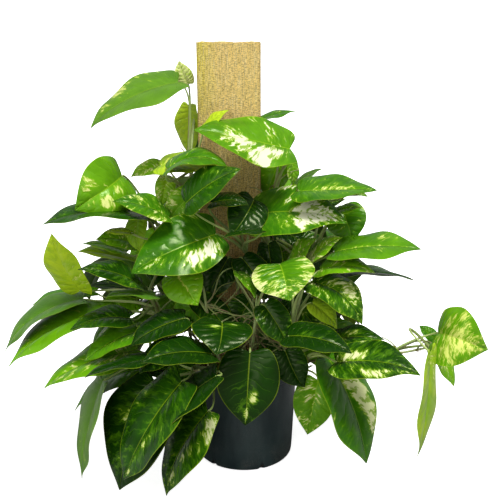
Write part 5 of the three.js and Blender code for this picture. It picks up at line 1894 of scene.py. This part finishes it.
@dataclass
class Board:
    """The rough-sawn board that the plant climbs, leaning a touch to the left."""

    width: float = 140.0
    thickness: float = 22.0
    foot_z: float = 40.0
    top_z: float = 981.0
    foot_x: float = -29.0
    top_x: float = -34.0
    y: float = 11.0
    rows: int = 330
    columns: int = 56
    side_columns: int = 9
    corner: float = 1.2
    grain_depth: float = 0.45
    cut_depth: float = 0.18
    rag: float = 1.6

    def middle(self, z: Array) -> Array:
        """The x of the board's middle line at a height."""
        return mix(self.foot_x, self.top_x, (z - self.foot_z) / (self.top_z - self.foot_z))

    def section(self) -> tuple[Array, Array]:
        """The board's section as places round it, and the way out at each."""
        half, deep = self.width / 2, self.thickness / 2
        x = np.linspace(-half + self.corner, half - self.corner, self.columns)
        y = np.linspace(-deep + self.corner, deep - self.corner, self.side_columns)
        front = np.stack([x, np.full_like(x, -deep)], -1)
        right = np.stack([np.full_like(y, half), y], -1)
        places = np.vstack([front, right, -front, -right])
        ways = np.repeat([(0.0, -1.0), (1.0, 0.0), (0.0, 1.0), (-1.0, 0.0)], [len(x), len(y)] * 2, axis=0)
        return places, ways

    def rings(self) -> tuple[Array, Array]:
        """Works out the board's skin.

        Each ring of the section is pushed in by the grain, waves that are short round the
        section and long up the board, and by the saw's marks, a sine of the height. The top
        rings follow a ragged line.

        Returns:
            The rings, and for each point how near it lies to an upright edge, which the finish darkens as
            painted shade.
        """
        places, ways = self.section()
        z = np.linspace(self.foot_z, self.top_z, self.rows)
        round_it = np.concatenate([[0], np.cumsum(np.linalg.norm(np.diff(places, axis=0), axis=1))])
        around, height = np.meshgrid(round_it, z)
        grain = cloud_heights(around * 9, height * 0.35, 60, 12, 90, 21)
        cuts = np.sin(2 * np.pi * height / 5.6 + cloud_heights(around, height, 12, 60, 200, 4))
        push = -self.grain_depth * np.maximum(grain, -0.4) - self.cut_depth * (1 + cuts)
        x = self.middle(height) + places[:, 0] + push * ways[:, 0]
        y = self.y + places[:, 1] + push * ways[:, 1]
        ragged = self.rag * (cloud_heights(places[:, 0], places[:, 1] * 0.4, 30, 5, 40, 33) - 0.9)
        near_top = np.clip((height - self.top_z + 14) / 14, 0, 1)
        up = height + near_top * np.minimum(ragged, 0)
        edge = np.exp(-((self.width / 2 - np.abs(places[:, 0])) / 1.6))
        return np.stack([x, y, up], -1)[None], np.broadcast_to(edge, x.shape)[None]

    def dress(self, finishes: Finishes) -> Object:
        """Makes the board and lets it stand for its node."""
        rings, edge = self.rings()
        # The edge mark darkens the upright edges as painted shade.
        board = plain_piece("sawn_board", finishes.board, (rings,), 50, share=edge)
        return stand_for(board, "plank")


@dataclass
class Studio:
    """The pale floor, the soft lights and the camera at the photograph's viewpoint."""

    floor_radius: float = 900.0
    floor_colour: Colour = (0.9, 0.9, 0.895)
    floor_bounce: Colour = (0.3, 0.3, 0.3)
    floor_glow: float = 0.85
    sky_strength: float = 0.32
    key: Triple = (0.2, -0.36, 1.0)
    key_strength: float = 3.3
    key_angle: float = 22.0
    side: Triple = (-0.6, -0.85, 0.55)
    side_strength: float = 1.25
    side_angle: float = 60.0

    def lay_floor(self) -> None:
        """Lays a round floor under the pot, pale where it is seen and grey where it throws light back."""
        white = (1.0, 1.0, 1.0, 1.0)
        w = Surface("studio floor", Roughness=0.9, Specular_IOR_Level=0.1, Emission_Color=white)
        dim = tuple(0.985 * channel for channel in self.floor_colour)
        seen = w.node("LightPath").outputs["Is Camera Ray"]
        cloudy = w.blend(w.noise(w.object_place(), 0.6, 1.0), self.floor_colour, dim)
        pale = w.blend(seen, self.floor_bounce, cloudy)
        w.feed(w.shader, Base_Color=pale, Emission_Strength=w.times(seen, self.floor_glow))
        sides = 96
        points = turned(np.array([self.floor_radius]), np.zeros(1), 2 * np.pi * np.arange(sides) / sides)
        mesh = new_mesh("floor", points[0], np.arange(sides)[None], np.zeros(1), (w.material,))
        link(bpy.data.objects.new("studio_floor", mesh))

    def hang_light(self, name: str, way: Triple, strength: float, angle: float) -> None:
        """Hangs a wide far light that shines from a direction."""
        light = bpy.data.lights.new(name, "SUN")
        light.energy, light.angle = strength, math.radians(angle)
        lamp = link(bpy.data.objects.new(name, light))
        lamp.rotation_mode = "QUATERNION"
        lamp.rotation_quaternion = Vector(way).to_track_quat("Z", "Y")

    def set_camera(self, eye: Eye) -> None:
        """Sets the camera at the eye; its lens gives the eye's focus on the frame's longer side."""
        camera = bpy.data.cameras.new("view")
        camera.sensor_width = 36.0
        camera.lens = eye.focus * camera.sensor_width / eye.frame_side
        camera.clip_end = 2000.0
        seat = link(bpy.data.objects.new("view", camera))
        seat.location = [MM * value for value in eye.place]
        seat.rotation_euler = (math.pi / 2 - eye.pitch, 0.0, 0.0)
        bpy.context.scene.camera = seat

    def build(self, eye: Eye) -> None:
        """Builds the whole studio."""
        world = bpy.data.worlds.new("studio")
        world.use_nodes = True
        w = Wiring(world.node_tree)
        seen = w.node("LightPath").outputs["Is Camera Ray"]
        sky = world.node_tree.nodes["Background"]
        sky.inputs["Color"].default_value = (1.0, 1.0, 1.0, 1.0)
        w.feed(sky, Strength=w.math("MAXIMUM", seen, self.sky_strength))
        bpy.context.scene.world = world
        bpy.context.scene.view_settings.view_transform = "Standard"
        self.lay_floor()
        self.hang_light("key", self.key, self.key_strength, self.key_angle)
        self.hang_light("side", self.side, self.side_strength, self.side_angle)
        self.set_camera(eye)


def main() -> None:
    """Builds the studio, the finishes and every piece in order."""
    logging.basicConfig(level=logging.INFO, format="%(name)s: %(message)s")
    grower = Grower()
    Studio().build(grower.eye)
    finishes = Finishes.build()
    pot = Pot()
    soil = Soil(pot)
    board = Board()
    pieces = [maker.dress(finishes) for maker in (pot, soil, board)]
    grower.hold_fixed(pot, soil, board)
    stems, leaves = grower.grow(VINES)
    foliage = Foliage()
    for owner, (plan, stem, grown) in enumerate(zip(VINES, stems, leaves), 1):
        pieces.append(foliage.dress(plan, stem, grown, owner, finishes))
    inner = [stem for plan, stem in zip(VINES, stems) if plan.name in INNER_VINES]
    pieces.append(foliage.tangle(inner, finishes))
    for piece in pieces:
        LOG.info("%s has %d faces", piece.name, len(piece.data.polygons))


if __name__ == "__main__":
    main()
